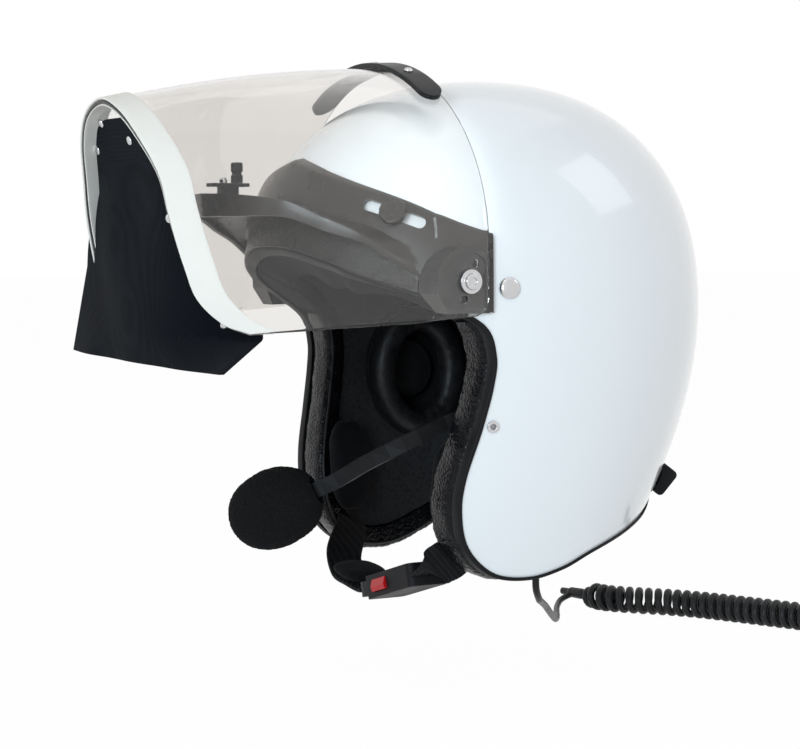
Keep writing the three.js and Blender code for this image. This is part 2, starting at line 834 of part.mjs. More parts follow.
function boomPivot() {
  const head = boomX - boomWall / 2 - gap;
  const base = boomX + boomWall / 2 + gap;
  const far = boomSeatX + overrun;
  const profile = [
    [0, head - boomHeadWall], [boomHeadRadius, head - boomHeadWall], [boomHeadRadius, head],
    [boomPinRadius, head], [boomPinRadius, base], [boomBaseRadius, base], [boomBaseRadius, far],
    [0, far],
  ];
  const shape = turned(profile, 16, axisX, new THREE.Vector3(0, boomPivotY, boomPivotZ));
  return solid(shape).intersect(bodyOf(linerIn - gap));
}

function micCapsule() {
  const front = boomEndReach - gap - capsuleLength;
  const profile = [
    [0, front], [capsuleRadius * 0.8, front], [capsuleRadius, front + capsuleRadius / 4],
    [capsuleRadius, boomEndReach - gap], [0, boomEndReach - gap],
  ];
  return turned(profile, 14, muffAxis, muffPlace);
}

function micWindscreen() {
  const hole = capsuleRadius + gap;
  const floor = boomEndReach - capsuleLength - 2 * gap;
  const profile = [];
  const last = Math.acos(hole / muffRadius);
  for (let i = 0; i <= muffRows; i += 1) {
    const turn = -Math.PI / 2 + (i / muffRows) * (Math.PI / 2 + last);
    const radius = i === 0 ? 0 : muffRadius * Math.cos(turn);
    profile.push([radius, muffHalfLength * Math.sin(turn)]);
  }
  profile.push([hole, floor], [0, floor]);
  return turned(profile, 18, muffAxis, muffPlace);
}

// Chin strap: the upper ends lie on the rolls, under the cheek pads. Each end has the surface's
// places at the strap's two edges
function strapEdges(side, [y, z]) {
  return [-1, 1].map((way) => {
    const edgeY = y + (way * strapWidth) / 2;
    return new THREE.Vector3(side * (shellX(edgeY, z, rollIn) - strapWall), edgeY, z);
  });
}

function strapSide(side) {
  return [strapLow, strapTop].map((place) => {
    const [front, rear] = strapEdges(side, place);
    return front.lerp(rear, 0.5);
  });
}

const buckleGroup = new THREE.Group();
buckleGroup.position.set(...buckleCentre);
buckleGroup.rotation.y = -radians(buckleTilt);
buckleGroup.updateMatrixWorld(true);
helmet.add(buckleGroup);
const buckleLine = axisX.clone().transformDirection(buckleGroup.matrixWorld);
const buckleAt = (x) => buckleGroup.position.clone().addScaledVector(buckleLine, x);

function strapAcross(side) {
  const [front, rear] = strapEdges(side, strapTop);
  return rear.sub(front).normalize();
}

function chinStrap(side, end, route) {
  const points = [buckleAt(end), buckleAt(end + side * strapWall)];
  points.push(...route.map((p) => new THREE.Vector3(...p)), ...strapSide(side));
  return ribbon(points, strapSteps, strapWidth, strapWall, axisY, strapAcross(side));
}

// Cushion that hangs from the strap under the chin
function chinPad() {
  const levels = [[0.86, 0], [0.98, 0.3], [1, 0.55], [0.9, 0.85], [0.55, 1]];
  const [x, y, z] = chinPadCentre;
  const tilt = radians(chinPadTilt);
  return loftSolid(levels.map(([scale, through]) => Array.from({ length: chinPadSteps }, (_, i) => {
    const turn = (i / chinPadSteps) * 2 * Math.PI;
    const along = chinPadHalfLength * scale * power(Math.cos(turn), 0.8);
    const rise = chinPadWall * through;
    return new THREE.Vector3(x + along * Math.cos(tilt) - rise * Math.sin(tilt),
      y + chinPadHalfWidth * scale * power(Math.sin(turn), 0.8),
      z + along * Math.sin(tilt) + rise * Math.cos(tilt));
  })));
}

function roundedBlock(length, width, wall, corner, place) {
  const shape = new THREE.Shape();
  const x = length / 2 - corner;
  const y = width / 2 - corner;
  const quarter = Math.PI / 2;
  [[x, y], [-x, y], [-x, -y], [x, -y]].forEach(([cx, cy], i) => {
    shape.absarc(cx, cy, corner, i * quarter, (i + 1) * quarter, false);
  });
  const options = { depth: wall, bevelEnabled: false, curveSegments: 4 };
  const geometry = new THREE.ExtrudeGeometry(shape, options);
  return geometry.translate(place.x, place.y, place.z - wall / 2);
}

function buckleBody() {
  const block = roundedBlock(
    2 * buckleHalfLength, 2 * buckleHalfWidth, 2 * buckleHalfWall, buckleCorner, new THREE.Vector3(),
  );
  const slotEnd = tongueReach - buckleHalfLength + gap;
  const slotStart = -buckleHalfLength - overrun;
  const slotMiddle = new THREE.Vector3((slotEnd + slotStart) / 2, 0, 0);
  const slotHeight = tongueWall + 2 * gap;
  const slot = box(slotEnd - slotStart, 2 * (tongueHalfWidth + gap), slotHeight, slotMiddle);
  const floor = -buckleHalfWidth - buttonProud + buttonDepth + buttonTravel + gap;
  const mouth = -buckleHalfWidth - overrun;
  const pocketMiddle = new THREE.Vector3(buttonX, (floor + mouth) / 2, 0);
  const pocket = box(buttonLength + 2 * gap, floor - mouth, buttonHeight + 2 * gap, pocketMiddle);
  return solid(block).subtract(solid(slot)).subtract(solid(pocket));
}

function buckleTongue() {
  const tip = tongueReach - buckleHalfLength;
  const root = -buckleHalfLength - gap;
  const blade = box(tip - root + overrun, 2 * tongueHalfWidth, tongueWall,
    new THREE.Vector3((tip + root - overrun) / 2, 0, 0));
  const headMiddle = new THREE.Vector3(root - (tongueHeadLength - gap) / 2, 0, 0);
  const head = roundedBlock(tongueHeadLength - gap, 2 * tongueHeadHalfWidth, tongueHeadWall,
    tongueHeadLength * 0.3, headMiddle);
  return solid(blade).add(solid(head));
}

function buckleButton() {
  const front = -buckleHalfWidth - buttonProud;
  const high = buttonHeight / 2;
  const back = front + buttonDepth;
  const side = [
    new THREE.Vector2(back, -high), new THREE.Vector2(back, high),
    new THREE.Vector2(front + buttonProud * 0.7, high), new THREE.Vector2(front, -high * 0.2),
    new THREE.Vector2(front + buttonProud * 0.3, -high),
  ];
  return sidePrism(side, buttonX - buttonLength / 2, buttonX + buttonLength / 2);
}

// Brow shield: a flange that hugs the shell, and a peak that stands out from it
const browCurves = [1, 3, 5].map((column) => new THREE.CatmullRomCurve3(
  browStationShares.map((row) => new THREE.Vector3(row[0], row[column], row[column + 1])),
));

function browStation(share) {
  const count = browStationShares.length - 1;
  let k = 1;
  while (k < count && browStationShares[k][0] < share) k += 1;
  const [from] = browStationShares[k - 1];
  const [to] = browStationShares[k];
  const local = (k - 1 + (share - from) / (to - from)) / count;
  const [flange, middle, edge] = browCurves.map((curve) => curve.getPoint(local));
  return {
    top: flange.y * browHeight,
    bottom: flange.z * browHeight,
    crease: middle.y * browHeight,
    tip: middle.z * browHeight,
    low: edge.y * browHeight,
    radius: edge.z * shellHalfLength,
    wall: browWallFront + (browWallRear - browWallFront) * share,
  };
}

function flangeSection(turnShare) {
  const { top, bottom, crease, wall } = browStation(Math.abs(turnShare));
  const on = (z, offset) => shellAt(radians(browAngle * turnShare), z, browStand + offset);
  return [
    on(bottom, 0), on((bottom + crease) / 2, 0), on(crease, 0), on((top + crease) / 2, 0), on(top, 0),
    on(top - browSkin / 2, wall), on((top + crease) / 2, wall), on(crease, wall),
    on((bottom + crease) / 2, wall), on(bottom, wall),
  ];
}

function peakSection(turnShare) {
  const { crease, tip, low, radius, wall } = browStation(Math.abs(turnShare));
  const turn = radians(browAngle * turnShare);
  const at = (reach, z) => new THREE.Vector3(
    reach * Math.sin(turn), shellCentreY - reach * Math.cos(turn), z,
  );
  const root = (z) => shellAt(turn, z, browStand + wall / 2);
  const lean = (browLean * (tip - low)) / browHeight;
  return [
    root(crease), at(radius, tip), at(radius - lean, low), at(radius - lean - browSkin, low),
    at(radius - lean - browSkin, (low + tip) / 2), root(crease - browSkin),
  ];
}

function slotFrame() {
  const { wall } = browStation(slotAngle / browAngle);
  const turn = radians(slotAngle);
  const seat = shellAt(turn, slotZ, browStand + wall);
  const side = shellAt(turn + radians(1), slotZ, browStand + wall).sub(seat).normalize();
  const up = shellAt(turn, slotZ + browSkin, browStand + wall).sub(seat).normalize();
  const normal = new THREE.Vector3().crossVectors(up, side).normalize();
  if (normal.y > 0) normal.negate();
  return { seat, side, normal, wall };
}

function browSlot() {
  const { seat, side, normal } = slotFrame();
  const up = new THREE.Vector3().crossVectors(normal, side).normalize();
  const tilt = radians(slotTilt);
  const along = side.clone().multiplyScalar(Math.cos(tilt)).addScaledVector(up, -Math.sin(tilt));
  const across = new THREE.Vector3().crossVectors(normal, along);
  const block = roundedBlock(slotLength, slotWidth, 2 * overrun, slotWidth / 2 - weld * 2, new THREE.Vector3());
  block.applyMatrix4(new THREE.Matrix4().makeBasis(along, across, normal).setPosition(seat));
  return block;
}

function browShield() {
  const turns = shares(2 * browSteps).map((share) => 2 * share - 1);
  const flange = solid(loftSolid(turns.map(flangeSection)));
  const peak = solid(loftSolid(turns.map((turn) => peakSection(turn * peakEnd))));
  const slot = browSlot();
  const seat = solid(baseBlock(gap, overrun)).subtract(bodyOf(baseSeat));
  const half = solid(slot).add(seat).add(solid(pivotBore()));
  return flange.add(peak.subtract(bodyOf(browStand + gap))).subtract(half).subtract(half.mirror([1, 0, 0]));
}

function slotKnob() {
  const { seat, normal, wall } = slotFrame();
  const r = knobRadius;
  const profile = [
    [0, -wall - browStand + gap * 2], [knobShaftRadius, -wall - browStand + gap * 2],
    [knobShaftRadius, gap * 2], [r * 0.94, gap * 2], [r, knobWall * 0.3], [r, knobWall * 0.75],
    [r * 0.86, knobWall], [r * 0.5, knobWall * 0.94], [0, knobWall * 0.94],
  ];
  return turned(profile, 16, normal, seat);
}

// Latch hardware on the peak
function peakTopZ() {
  const { crease, tip, radius, wall } = browStation(0);
  const start = shellAt(0, crease, browStand + wall).y;
  const end = shellCentreY - radius;
  return crease + ((tip - crease) * (latchY - latchBossLength / 2 - start)) / (end - start);
}

function latchPlate() {
  const bottom = peakTopZ() + gap;
  const bossMiddle = new THREE.Vector3(0, latchY, bottom + latchBossWall / 2);
  const boss = box(latchWidth * 0.7, latchBossLength, latchBossWall + weld, bossMiddle);
  const plateMiddle = new THREE.Vector3(0, latchY, bottom + latchBossWall + latchWall / 2);
  const plate = roundedBlock(latchWidth, latchLength, latchWall, latchWidth * 0.2, plateMiddle);
  return solid(boss).add(solid(plate));
}

const latchTopZ = peakTopZ() + gap + latchBossWall + latchWall + gap;

function latchPost() {
  const r = postRadius;
  const profile = [
    [0, 0], [r, 0], [r, postHeight * 0.35], [r * 0.8, postHeight * 0.42], [r * 0.8, postHeight * 0.5],
    [r, postHeight * 0.57], [r, postHeight * 0.93], [r * 0.85, postHeight], [0, postHeight],
  ];
  return turned(profile, 12, axisZ, new THREE.Vector3(0, postY, latchTopZ));
}

function latchScrew() {
  const r = latchScrewRadius;
  const profile = [[0, 0], [r, 0], [r, latchScrewHeight * 0.6], [r * 0.6, latchScrewHeight], [0, latchScrewHeight]];
  return turned(profile, 12, axisZ, new THREE.Vector3(0, latchScrewY, latchTopZ));
}

// Visor
const frontHalf = visorFrontShares.map(([x, y, z]) => (
  new THREE.Vector3(x * pivotX, y * shellHalfLength, z * shellDome)
));
const frontCurve = new THREE.CatmullRomCurve3([
  ...frontHalf,
  ...frontHalf.slice(0, -1).reverse().map((p) => new THREE.Vector3(-p.x, p.y, p.z)),
]);

// Length of the arch's quarter for its height, and how fast the rear edge's share moves at the crest
const archQuarterShare = 1.62;
const crestShare = 0.32;

// Rear arch: straight tabs, then a rounded arch. The share runs from the left tab to the right
function rearAt(share) {
  const side = share > 0.5 ? -1 : 1;
  const along = 1 - Math.abs(1 - 2 * share);
  const archHeight = visorRearHeight - visorTabRise;
  const quarter = archHeight * archQuarterShare;
  const place = along * (quarter + visorTabRise + visorTabDrop) - visorTabDrop;
  if (place <= visorTabRise) {
    const drop = Math.max(0, visorTabCorner - (visorTabDrop + place));
    const back = visorTabCorner - Math.sqrt(visorTabCorner ** 2 - drop ** 2);
    return new THREE.Vector3(side * pivotX, visorRearY - back, place);
  }
  const turn = ((place - visorTabRise) / quarter) * (Math.PI / 2);
  const x = pivotX * power(Math.cos(turn), 2 / archShare);
  const z = visorTabRise + archHeight * power(Math.sin(turn), 2 / archShare);
  return new THREE.Vector3(side * x, visorRearY, z);
}

function visorAt(across, along) {
  const rear = rearAt(across);
  const front = frontCurve.getPointAt(across);
  const length = Math.abs(front.y - rear.y);
  const flat = visorFlat / length;
  const taper = Math.max(0, along - flat) / (1 - flat);
  return new THREE.Vector3(
    rear.x + (front.x - rear.x) * taper,
    rear.y + (front.y - rear.y) * along,
    rear.z + (front.z - rear.z) * along,
  );
}

const nudgeShare = 0.002;

function visorPoint(across, along, offset) {
  const u = THREE.MathUtils.clamp(across, nudgeShare, 1 - nudgeShare);
  const v = THREE.MathUtils.clamp(along, nudgeShare, 1 - nudgeShare);
  const side = visorAt(u + nudgeShare, v).sub(visorAt(u - nudgeShare, v));
  const ahead = visorAt(u, v + nudgeShare).sub(visorAt(u, v - nudgeShare));
  const out = new THREE.Vector3().crossVectors(side, ahead).normalize();
  return visorAt(across, along).addScaledVector(out, offset);
}

const visorOut = visorWall / 2;

function visor() {
  const flatRows = visorFlatShares.length;
  const rows = [...visorFlatShares, ...visorTaperShares];
  const sheet = patchSolid(shares(visorColumns), rows.map((_, i) => i), (u, row, w) => {
    const flat = visorFlat / reachOf(u);
    const v = row < flatRows ? flat * rows[row] : flat + (1 - flat) * rows[row];
    return visorPoint(u, v, visorWall * (w - 0.5));
  });
  let shape = solid(sheet);
  const detent = radians(detentAngle);
  const length = 2 * (pivotX + overrun);
  const bore = (radius, y, z) => cylinder(radius, length, axisX, new THREE.Vector3(0, y, z), 18);
  shape = shape.subtract(solid(bore(visorPivotHole, pivotY, 0)));
  [1, -1].forEach((way) => {
    const y = pivotY + way * detentOffset * Math.cos(detent);
    const z = way * detentOffset * Math.sin(detent);
    shape = shape.subtract(solid(bore(detentRadius, y, z)));
  });
  return shape;
}

const reachOf = (across) => visorAt(across, 0).distanceTo(visorAt(across, 1));

function visorEdgeBand() {
  return patchSolid(shares(visorColumns), [0, 0.5, 1], (u, v, w) => {
    const along = 1 - (bandWidth / reachOf(u)) * (1 - v);
    return visorPoint(u, along, visorOut + bandGap + bandWall * w);
  });
}

function visorTopStrip() {
  const end = 0.5 - (stripHalfWidth / pivotX) * crestShare;
  return patchSolid(shares(14), [0, 0.5, 1], (u, v, w) => {
    const across = end + (1 - 2 * end) * u;
    const along = (stripWidth / reachOf(across)) * v;
    return visorPoint(across, along, visorOut + gap + stripWall * w);
  });
}

function stripScrew() {
  const across = 0.5 - (stripScrewX / pivotX) * crestShare;
  const along = stripWidth / 2 / reachOf(across);
  const low = visorOut + gap + stripWall;
  const seat = visorPoint(across, along, low + gap);
  const normal = visorPoint(across, along, low + overrun).sub(seat).normalize();
  const r = stripScrewRadius;
  const profile = [[0, 0], [r, 0], [r * 0.7, stripScrewHeight * 0.75], [0, stripScrewHeight]];
  return turned(profile, 12, normal, seat);
}

// Curtain: rows go down the visor's front edge, and the last ones hang free below it
function windCurtain() {
  const inside = -visorOut - curtainInset;
  const archRows = [0.42, 0.36, 0.3, 0.24, 0.18, 0.12, 0.06, 0.01];
  const hang = [0, 0.45, 1];
  const rows = [...archRows.map((share) => ({ share })), ...hang.map((drop) => ({ drop }))];
  const edge = (row, side) => {
    if (row.share !== undefined) {
      const across = side > 0 ? row.share : 1 - row.share;
      return visorPoint(across, 1 - bandWidth / 2 / reachOf(across), inside);
    }
    const from = edge({ share: archRows.at(-1) }, side);
    from.z -= 1.5 * curtainWall;
    const to = new THREE.Vector3(side * curtainHalfWidth, curtainY + curtainSweep, curtainLow);
    return from.lerp(to, row.drop);
  };
  const columns = shares(10);
  return patchSolid(columns, rows.map((_, i) => i), (u, v, w) => {
    const row = rows[v];
    const side = 2 * u - 1;
    const point = edge(row, 1).lerp(edge(row, -1), u);
    const middle = Math.min(point.y, curtainY);
    point.y = middle + (point.y - middle) * Math.abs(side) ** 3;
    point.y += curtainWall * w;
    return point;
  });
}

// Pivot bases, screws, studs and rivets
const baseFace = pivotX - visorOut - 3 * gap;

function baseArch(radius, drop) {
  const arch = shares(10).map((share) => new THREE.Vector2(
    pivotY + radius * Math.cos(share * Math.PI), radius * Math.sin(share * Math.PI),
  ));
  return [
    ...arch, new THREE.Vector2(pivotY - radius, -drop * baseCornerShare),
    new THREE.Vector2(pivotY - radius * (1 - baseCornerShare), -drop),
    new THREE.Vector2(pivotY + radius, -drop),
  ];
}

// Block under a visor tab, grown by a clearance and drawn out past its face. Its rear end stops
// short of the stud
function baseBlock(clear, past) {
  const low = pivotX - 4 * overrun;
  const points = baseArch(baseHalfWidth + clear, baseDrop + clear).map((p) => (
    new THREE.Vector2(Math.min(p.x, pivotY + baseRear + clear), p.y)
  ));
  return sidePrism(points, low, baseFace + past);
}

function visorBase() {
  const pocket = sidePrism(baseArch(baseHalfWidth - baseRim - gap, baseDrop - baseRim).map((p) => (
    new THREE.Vector2(Math.min(p.x, pivotY + baseRear - baseRim), p.y)
  )), baseFace - basePocket, baseFace + overrun);
  const boss = solid(cylinder(pivotFlangeRadius, basePocket, axisX,
    new THREE.Vector3(baseFace - basePocket / 2, pivotY, 0), 18));
  return solid(baseBlock(0, 0)).subtract(solid(pocket)).add(boss)
    .subtract(solid(pivotBore())).subtract(bodyOf(baseSeat + gap));
}

function pivotScrew() {
  const out = pivotX + visorOut + gap;
  const profile = [
    [0, out - pivotShaftLength], [pivotShaftRadius, out - pivotShaftLength], [pivotShaftRadius, out],
    [pivotFlangeRadius, out], [pivotFlangeRadius, out + pivotFlangeWall],
    [pivotDomeRadius, out + pivotFlangeWall], [pivotDomeRadius * 0.75, out + pivotFlangeWall + pivotDomeHeight * 0.8],
    [0, out + pivotFlangeWall + pivotDomeHeight],
  ];
  return turned(profile, 16, axisX, new THREE.Vector3(0, pivotY, 0));
}

function surfaceNormal(y, z) {
  const seat = new THREE.Vector3(shellX(y, z, 0), y, z);
  const ahead = new THREE.Vector3(shellX(y + gap, z, 0), y + gap, z).sub(seat);
  const up = new THREE.Vector3(shellX(y, z + gap, 0), y, z + gap).sub(seat);
  const normal = new THREE.Vector3().crossVectors(ahead, up).normalize();
  return { seat, normal };
}

function sideStud() {
  const { seat, normal } = surfaceNormal(studY, studZ);
  const r = studRadius;
  const profile = [
    [0, -r], [r, -r], [r, studHeight * 0.35], [r * 0.8, studHeight * 0.8], [r * 0.4, studHeight],
    [0, studHeight],
  ];
  return solid(turned(profile, 16, normal, seat)).subtract(bodyOf(gap));
}

function strapRivet() {
  const { seat, normal } = surfaceNormal(rivetY, rivetZ);
  const deep = shellWall + gap;
  const profile = [
    [rivetHole, -deep], [rivetShankRadius, -deep], [rivetShankRadius, gap * 2], [rivetRadius, gap * 2],
    [rivetRadius * 0.9, rivetHeight], [rivetHole * 1.2, rivetHeight], [rivetHole, rivetHeight * 0.6],
    [rivetHole, -deep],
  ];
  return turned(profile, 12, normal, seat);
}

// Rear clip: a block that stands on the rim's trim, in the direction of clipAngle
function rearClip() {
  const turn = Math.PI - radians(clipAngle);
  const seat = shellAt(turn, clipTopZ, trimWall);
  const out = new THREE.Vector3(Math.sin(turn), -Math.cos(turn), 0);
  const across = new THREE.Vector3().crossVectors(axisZ, out);
  const slope = radians(clipSlope);
  const down = axisZ.clone().multiplyScalar(-Math.sin(slope)).addScaledVector(out, -Math.cos(slope));
  const proud = new THREE.Vector3().crossVectors(down, across).normalize();
  if (proud.dot(out) < 0) proud.negate();
  const block = roundedBlock(clipLength, 2 * clipProud, 2 * clipHalfWidth, clipCorner,
    new THREE.Vector3(clipLength / 2, 0, 0));
  const basis = new THREE.Matrix4().makeBasis(down, proud, new THREE.Vector3().crossVectors(down, proud));
  block.applyMatrix4(basis.setPosition(seat));
  return solid(block).subtract(bodyOf(trimWall + 2 * gap));
}

// Gland, lead, curled cord and plug
function cableGland() {
  const r = glandTopRadius;
  const s = glandEndRadius;
  const long = glandTopZ - glandEndZ;
  const profile = [
    [0, 0], [s, 0], [s, long * 0.12], [s * 1.12, long * 0.14], [s * 1.12, long * 0.26], [s, long * 0.28],
    [s * 1.25, long * 0.4], [r, long * 0.42], [r, long], [0, long],
  ];
  const shape = turned(profile, 12, axisZ, new THREE.Vector3(glandX, glandY, glandEndZ));
  return solid(shape).subtract(rimPrism(rollDepth));
}

function leadTube() {
  const [start, next] = curlLine();
  const end = start.clone().addScaledVector(next.clone().sub(start).normalize(), -gap);
  const curve = new THREE.CatmullRomCurve3([...leadRoute.map((p) => new THREE.Vector3(...p)), end]);
  const length = curve.getLength();
  const section = new THREE.Shape().absarc(0, 0, leadRadius, 0, 2 * Math.PI, false);
  const steps = Math.round(length / leadStepLength);
  console.log(`lead length ${length.toFixed(1)} mm`);
  const options = { steps, curveSegments: 4, extrudePath: curve, bevelEnabled: false };
  return new THREE.ExtrudeGeometry(section, options);
}

function curlLine() {
  const axis = new THREE.CatmullRomCurve3(curlRoute.map((p) => new THREE.Vector3(...p)));
  const steps = curlCount * curlStepsEach;
  const points = [];
  const start = axis.getPointAt(0);
  const end = axis.getPointAt(1);
  const diameter = 2 * curlCordRadius;
  points.push(start.clone().addScaledVector(axis.getTangentAt(0), -diameter));
  for (let i = 0; i <= steps; i += 1) {
    const share = i / steps;
    const middle = axis.getPointAt(share);
    const tangent = axis.getTangentAt(share);
    const side = new THREE.Vector3().crossVectors(tangent, axisZ).normalize();
    const up = new THREE.Vector3().crossVectors(side, tangent);
    const turns = share * curlCount;
    const ramp = THREE.MathUtils.smoothstep(Math.min(turns, curlCount - turns), 0, curlRampShare);
    const turn = -turns * 2 * Math.PI;
    points.push(middle.addScaledVector(side, Math.cos(turn) * curlRadius * ramp)
      .addScaledVector(up, Math.sin(turn) * curlRadius * ramp));
  }
  points.push(end.clone().addScaledVector(axis.getTangentAt(1), diameter));
  return points;
}

// The least distance between parts of the curl that are more than half a curl apart
function leastGap(points) {
  const places = [0];
  for (let i = 1; i < points.length; i += 1) {
    places.push(places[i - 1] + points[i].distanceTo(points[i - 1]));
  }
  const apart = Math.PI * curlRadius;
  let least = Infinity;
  for (let i = 0; i < points.length; i += 1) {
    for (let j = i + 1; j + 1 < points.length; j += 1) {
      if (places[j] - places[i] >= apart) {
        const closest = new THREE.Line3(points[j], points[j + 1])
          .closestPointToPoint(points[i], true, new THREE.Vector3());
        least = Math.min(least, closest.distanceTo(points[i]));
      }
    }
  }
  return least - 2 * curlCordRadius;
}

function curlyCord() {
  const points = curlLine();
  let length = 0;
  for (let i = 0; i + 1 < points.length; i += 1) length += points[i].distanceTo(points[i + 1]);
  console.log(`curled cord length ${length.toFixed(0)} mm, least gap ${leastGap(points).toFixed(2)} mm`);
  let across = axisZ.clone();
  const rings = points.map((point, i) => {
    const before = points[Math.max(i - 1, 0)];
    const after = points[Math.min(i + 1, points.length - 1)];
    const tangent = after.clone().sub(before).normalize();
    across = across.addScaledVector(tangent, -across.dot(tangent)).normalize();
    const other = new THREE.Vector3().crossVectors(tangent, across);
    return Array.from({ length: curlSides }, (_, k) => {
      const turn = (k / curlSides) * 2 * Math.PI;
      return point.clone().addScaledVector(across, Math.cos(turn) * curlCordRadius)
        .addScaledVector(other, Math.sin(turn) * curlCordRadius);
    });
  });
  return loftSolid(rings);
}

const curlEnd = curlLine().at(-1);
const plugAxis = curlEnd.clone().sub(curlLine().at(-2)).setZ(0).normalize();

function plugBody() {
  const seat = curlEnd.clone().addScaledVector(plugAxis, gap * 2);
  seat.z = Math.max(seat.z, tableZ + plugRadius + gap);
  const profile = plugGripShares.map(([along, radius]) => [plugRadius * radius, plugLength * along]);
  return turned([[0, 0], ...profile, [0, plugLength]], plugSides, plugAxis, seat);
}

function plugTip() {
  const seat = curlEnd.clone().addScaledVector(plugAxis, plugLength + gap * 3);
  seat.z = Math.max(seat.z, tableZ + plugRadius + gap);
  const profile = plugTipShares.map(([along, radius]) => [plugTipRadius * radius, plugTipLength * along]);
  return turned([[0, 0], ...profile, [0, plugTipLength]], plugSides, plugAxis, seat);
}

addPiece('outer_shell', outerShell(), looks.white());
addPiece('edge_trim', edgeTrim(), looks.rubber());
addPiece('impact_liner', impactLiner(), looks.foam());
addPiece('crown_pad', crownPad(), looks.cloth());
addPiece('brow_pad', wrappedPad(0, browPadAngle, browPadLow, browPadHigh), looks.leather());
addPiece('nape_pad', wrappedPad(180, napePadAngle, napePadLow, napePadHigh), looks.leather());
addPair('cheek_roll', cheekRoll, looks.leather);
addPiece('nape_roll', crossRoll(napeRollSteps), looks.leather());
addPiece('brow_roll', crossRoll(browRollSteps), looks.leather());
addPair('cheek_pad', cheekPad, looks.cloth);
addPair('ear_cup', earCup, looks.black);
addPair('ear_seal', earSeal, looks.leather);
addPair('speaker', speaker, looks.black);
addPiece('boom_pivot', boomPivot(), looks.black());
addPiece('mic_boom', micBoom(), looks.black());
addPiece('mic_capsule', micCapsule(), looks.black());
addPiece('mic_windscreen', micWindscreen(), looks.cloth());
addPiece('chin_strap_left', chinStrap(1, buckleHalfLength + gap, leftStrapRoute), looks.cloth());
const tongueEnd = -buckleHalfLength - tongueHeadLength - gap;
addPiece('chin_strap_right', chinStrap(-1, tongueEnd, rightStrapRoute), looks.cloth());
addPair('strap_rivet', strapRivet, looks.chrome);
addPiece('buckle_body', buckleBody(), looks.black(), buckleGroup);
addPiece('buckle_tongue', buckleTongue(), looks.black(), buckleGroup);
addPiece('buckle_button', buckleButton(), looks.red(), buckleGroup);
addPiece('chin_pad', chinPad(), looks.cloth());
addPiece('brow_shield', browShield(), looks.dark());
addPair('slot_knob', slotKnob, looks.dark);
addPiece('latch_plate', latchPlate(), looks.black());
addPiece('latch_post', latchPost(), looks.black());
addPiece('latch_screw', latchScrew(), looks.chrome());
addPiece('visor', visor(), looks.clear());
addPiece('visor_edge_band', visorEdgeBand(), looks.band());
addPiece('visor_top_strip', visorTopStrip(), looks.black());
addPair('strip_screw', stripScrew, looks.chrome);
addPiece('wind_curtain', windCurtain(), looks.neoprene());
addPair('visor_base', visorBase, looks.dark);
addPair('pivot_screw', pivotScrew, looks.chrome);
addPair('side_stud', sideStud, looks.chrome);
addPiece('rear_clip', rearClip(), looks.rubber());
addPiece('cable_gland', cableGland(), looks.rubber());
addPiece('lead', leadTube(), looks.rubber());
addPiece('curly_cord', curlyCord(), looks.rubber());
addPiece('plug_body', plugBody(), looks.black());
addPiece('plug_tip', plugTip(), looks.chrome());

export default helmet;
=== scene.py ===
"""Looks of the gyrocopter helmet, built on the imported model. Metres, +Z up, the wearer looks along -Y."""
import json
import math

import bmesh
import bpy
import numpy as np
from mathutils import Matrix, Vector, noise

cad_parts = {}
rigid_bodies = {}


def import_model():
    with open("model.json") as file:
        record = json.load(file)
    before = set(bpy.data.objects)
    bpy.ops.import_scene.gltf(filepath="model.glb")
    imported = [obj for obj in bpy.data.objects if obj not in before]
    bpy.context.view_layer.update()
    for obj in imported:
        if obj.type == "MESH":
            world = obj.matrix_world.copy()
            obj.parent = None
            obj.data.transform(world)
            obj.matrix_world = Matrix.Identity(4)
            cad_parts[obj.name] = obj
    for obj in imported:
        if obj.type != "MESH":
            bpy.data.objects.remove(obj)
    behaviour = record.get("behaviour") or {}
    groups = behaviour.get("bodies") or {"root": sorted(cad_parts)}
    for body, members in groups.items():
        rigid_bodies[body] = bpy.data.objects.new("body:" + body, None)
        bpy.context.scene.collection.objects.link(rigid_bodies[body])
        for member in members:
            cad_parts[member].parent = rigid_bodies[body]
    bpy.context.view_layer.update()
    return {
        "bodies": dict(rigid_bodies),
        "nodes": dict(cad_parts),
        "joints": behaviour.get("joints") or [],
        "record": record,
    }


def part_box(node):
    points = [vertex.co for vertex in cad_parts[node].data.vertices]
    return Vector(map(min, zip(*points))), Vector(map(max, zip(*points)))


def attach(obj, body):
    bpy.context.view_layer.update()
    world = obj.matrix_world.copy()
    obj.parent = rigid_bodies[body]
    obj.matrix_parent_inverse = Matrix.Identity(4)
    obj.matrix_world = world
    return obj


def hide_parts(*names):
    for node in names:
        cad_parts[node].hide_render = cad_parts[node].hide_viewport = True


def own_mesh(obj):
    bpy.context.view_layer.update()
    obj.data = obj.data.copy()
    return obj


for leftover in list(bpy.data.objects):
    bpy.data.objects.remove(leftover)

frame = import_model()
nodes = frame["nodes"]
scene = bpy.context.scene
MM = 0.001


# Camera: where the photograph was taken from
def add_camera():
    data = bpy.data.cameras.new("camera")
    data.sensor_width = 36
    data.lens = 100.8
    data.clip_start = 0.05
    data.clip_end = 50
    camera = bpy.data.objects.new("camera", data)
    scene.collection.objects.link(camera)
    pitch = math.radians(3.36)
    look = Vector((-0.866 * math.cos(pitch), 0.5 * math.cos(pitch), -math.sin(pitch)))
    camera.rotation_euler = look.to_track_quat("-Z", "Y").to_euler()
    camera.location = (1.1871, -0.7438, 0.0216)
    scene.camera = camera


add_camera()

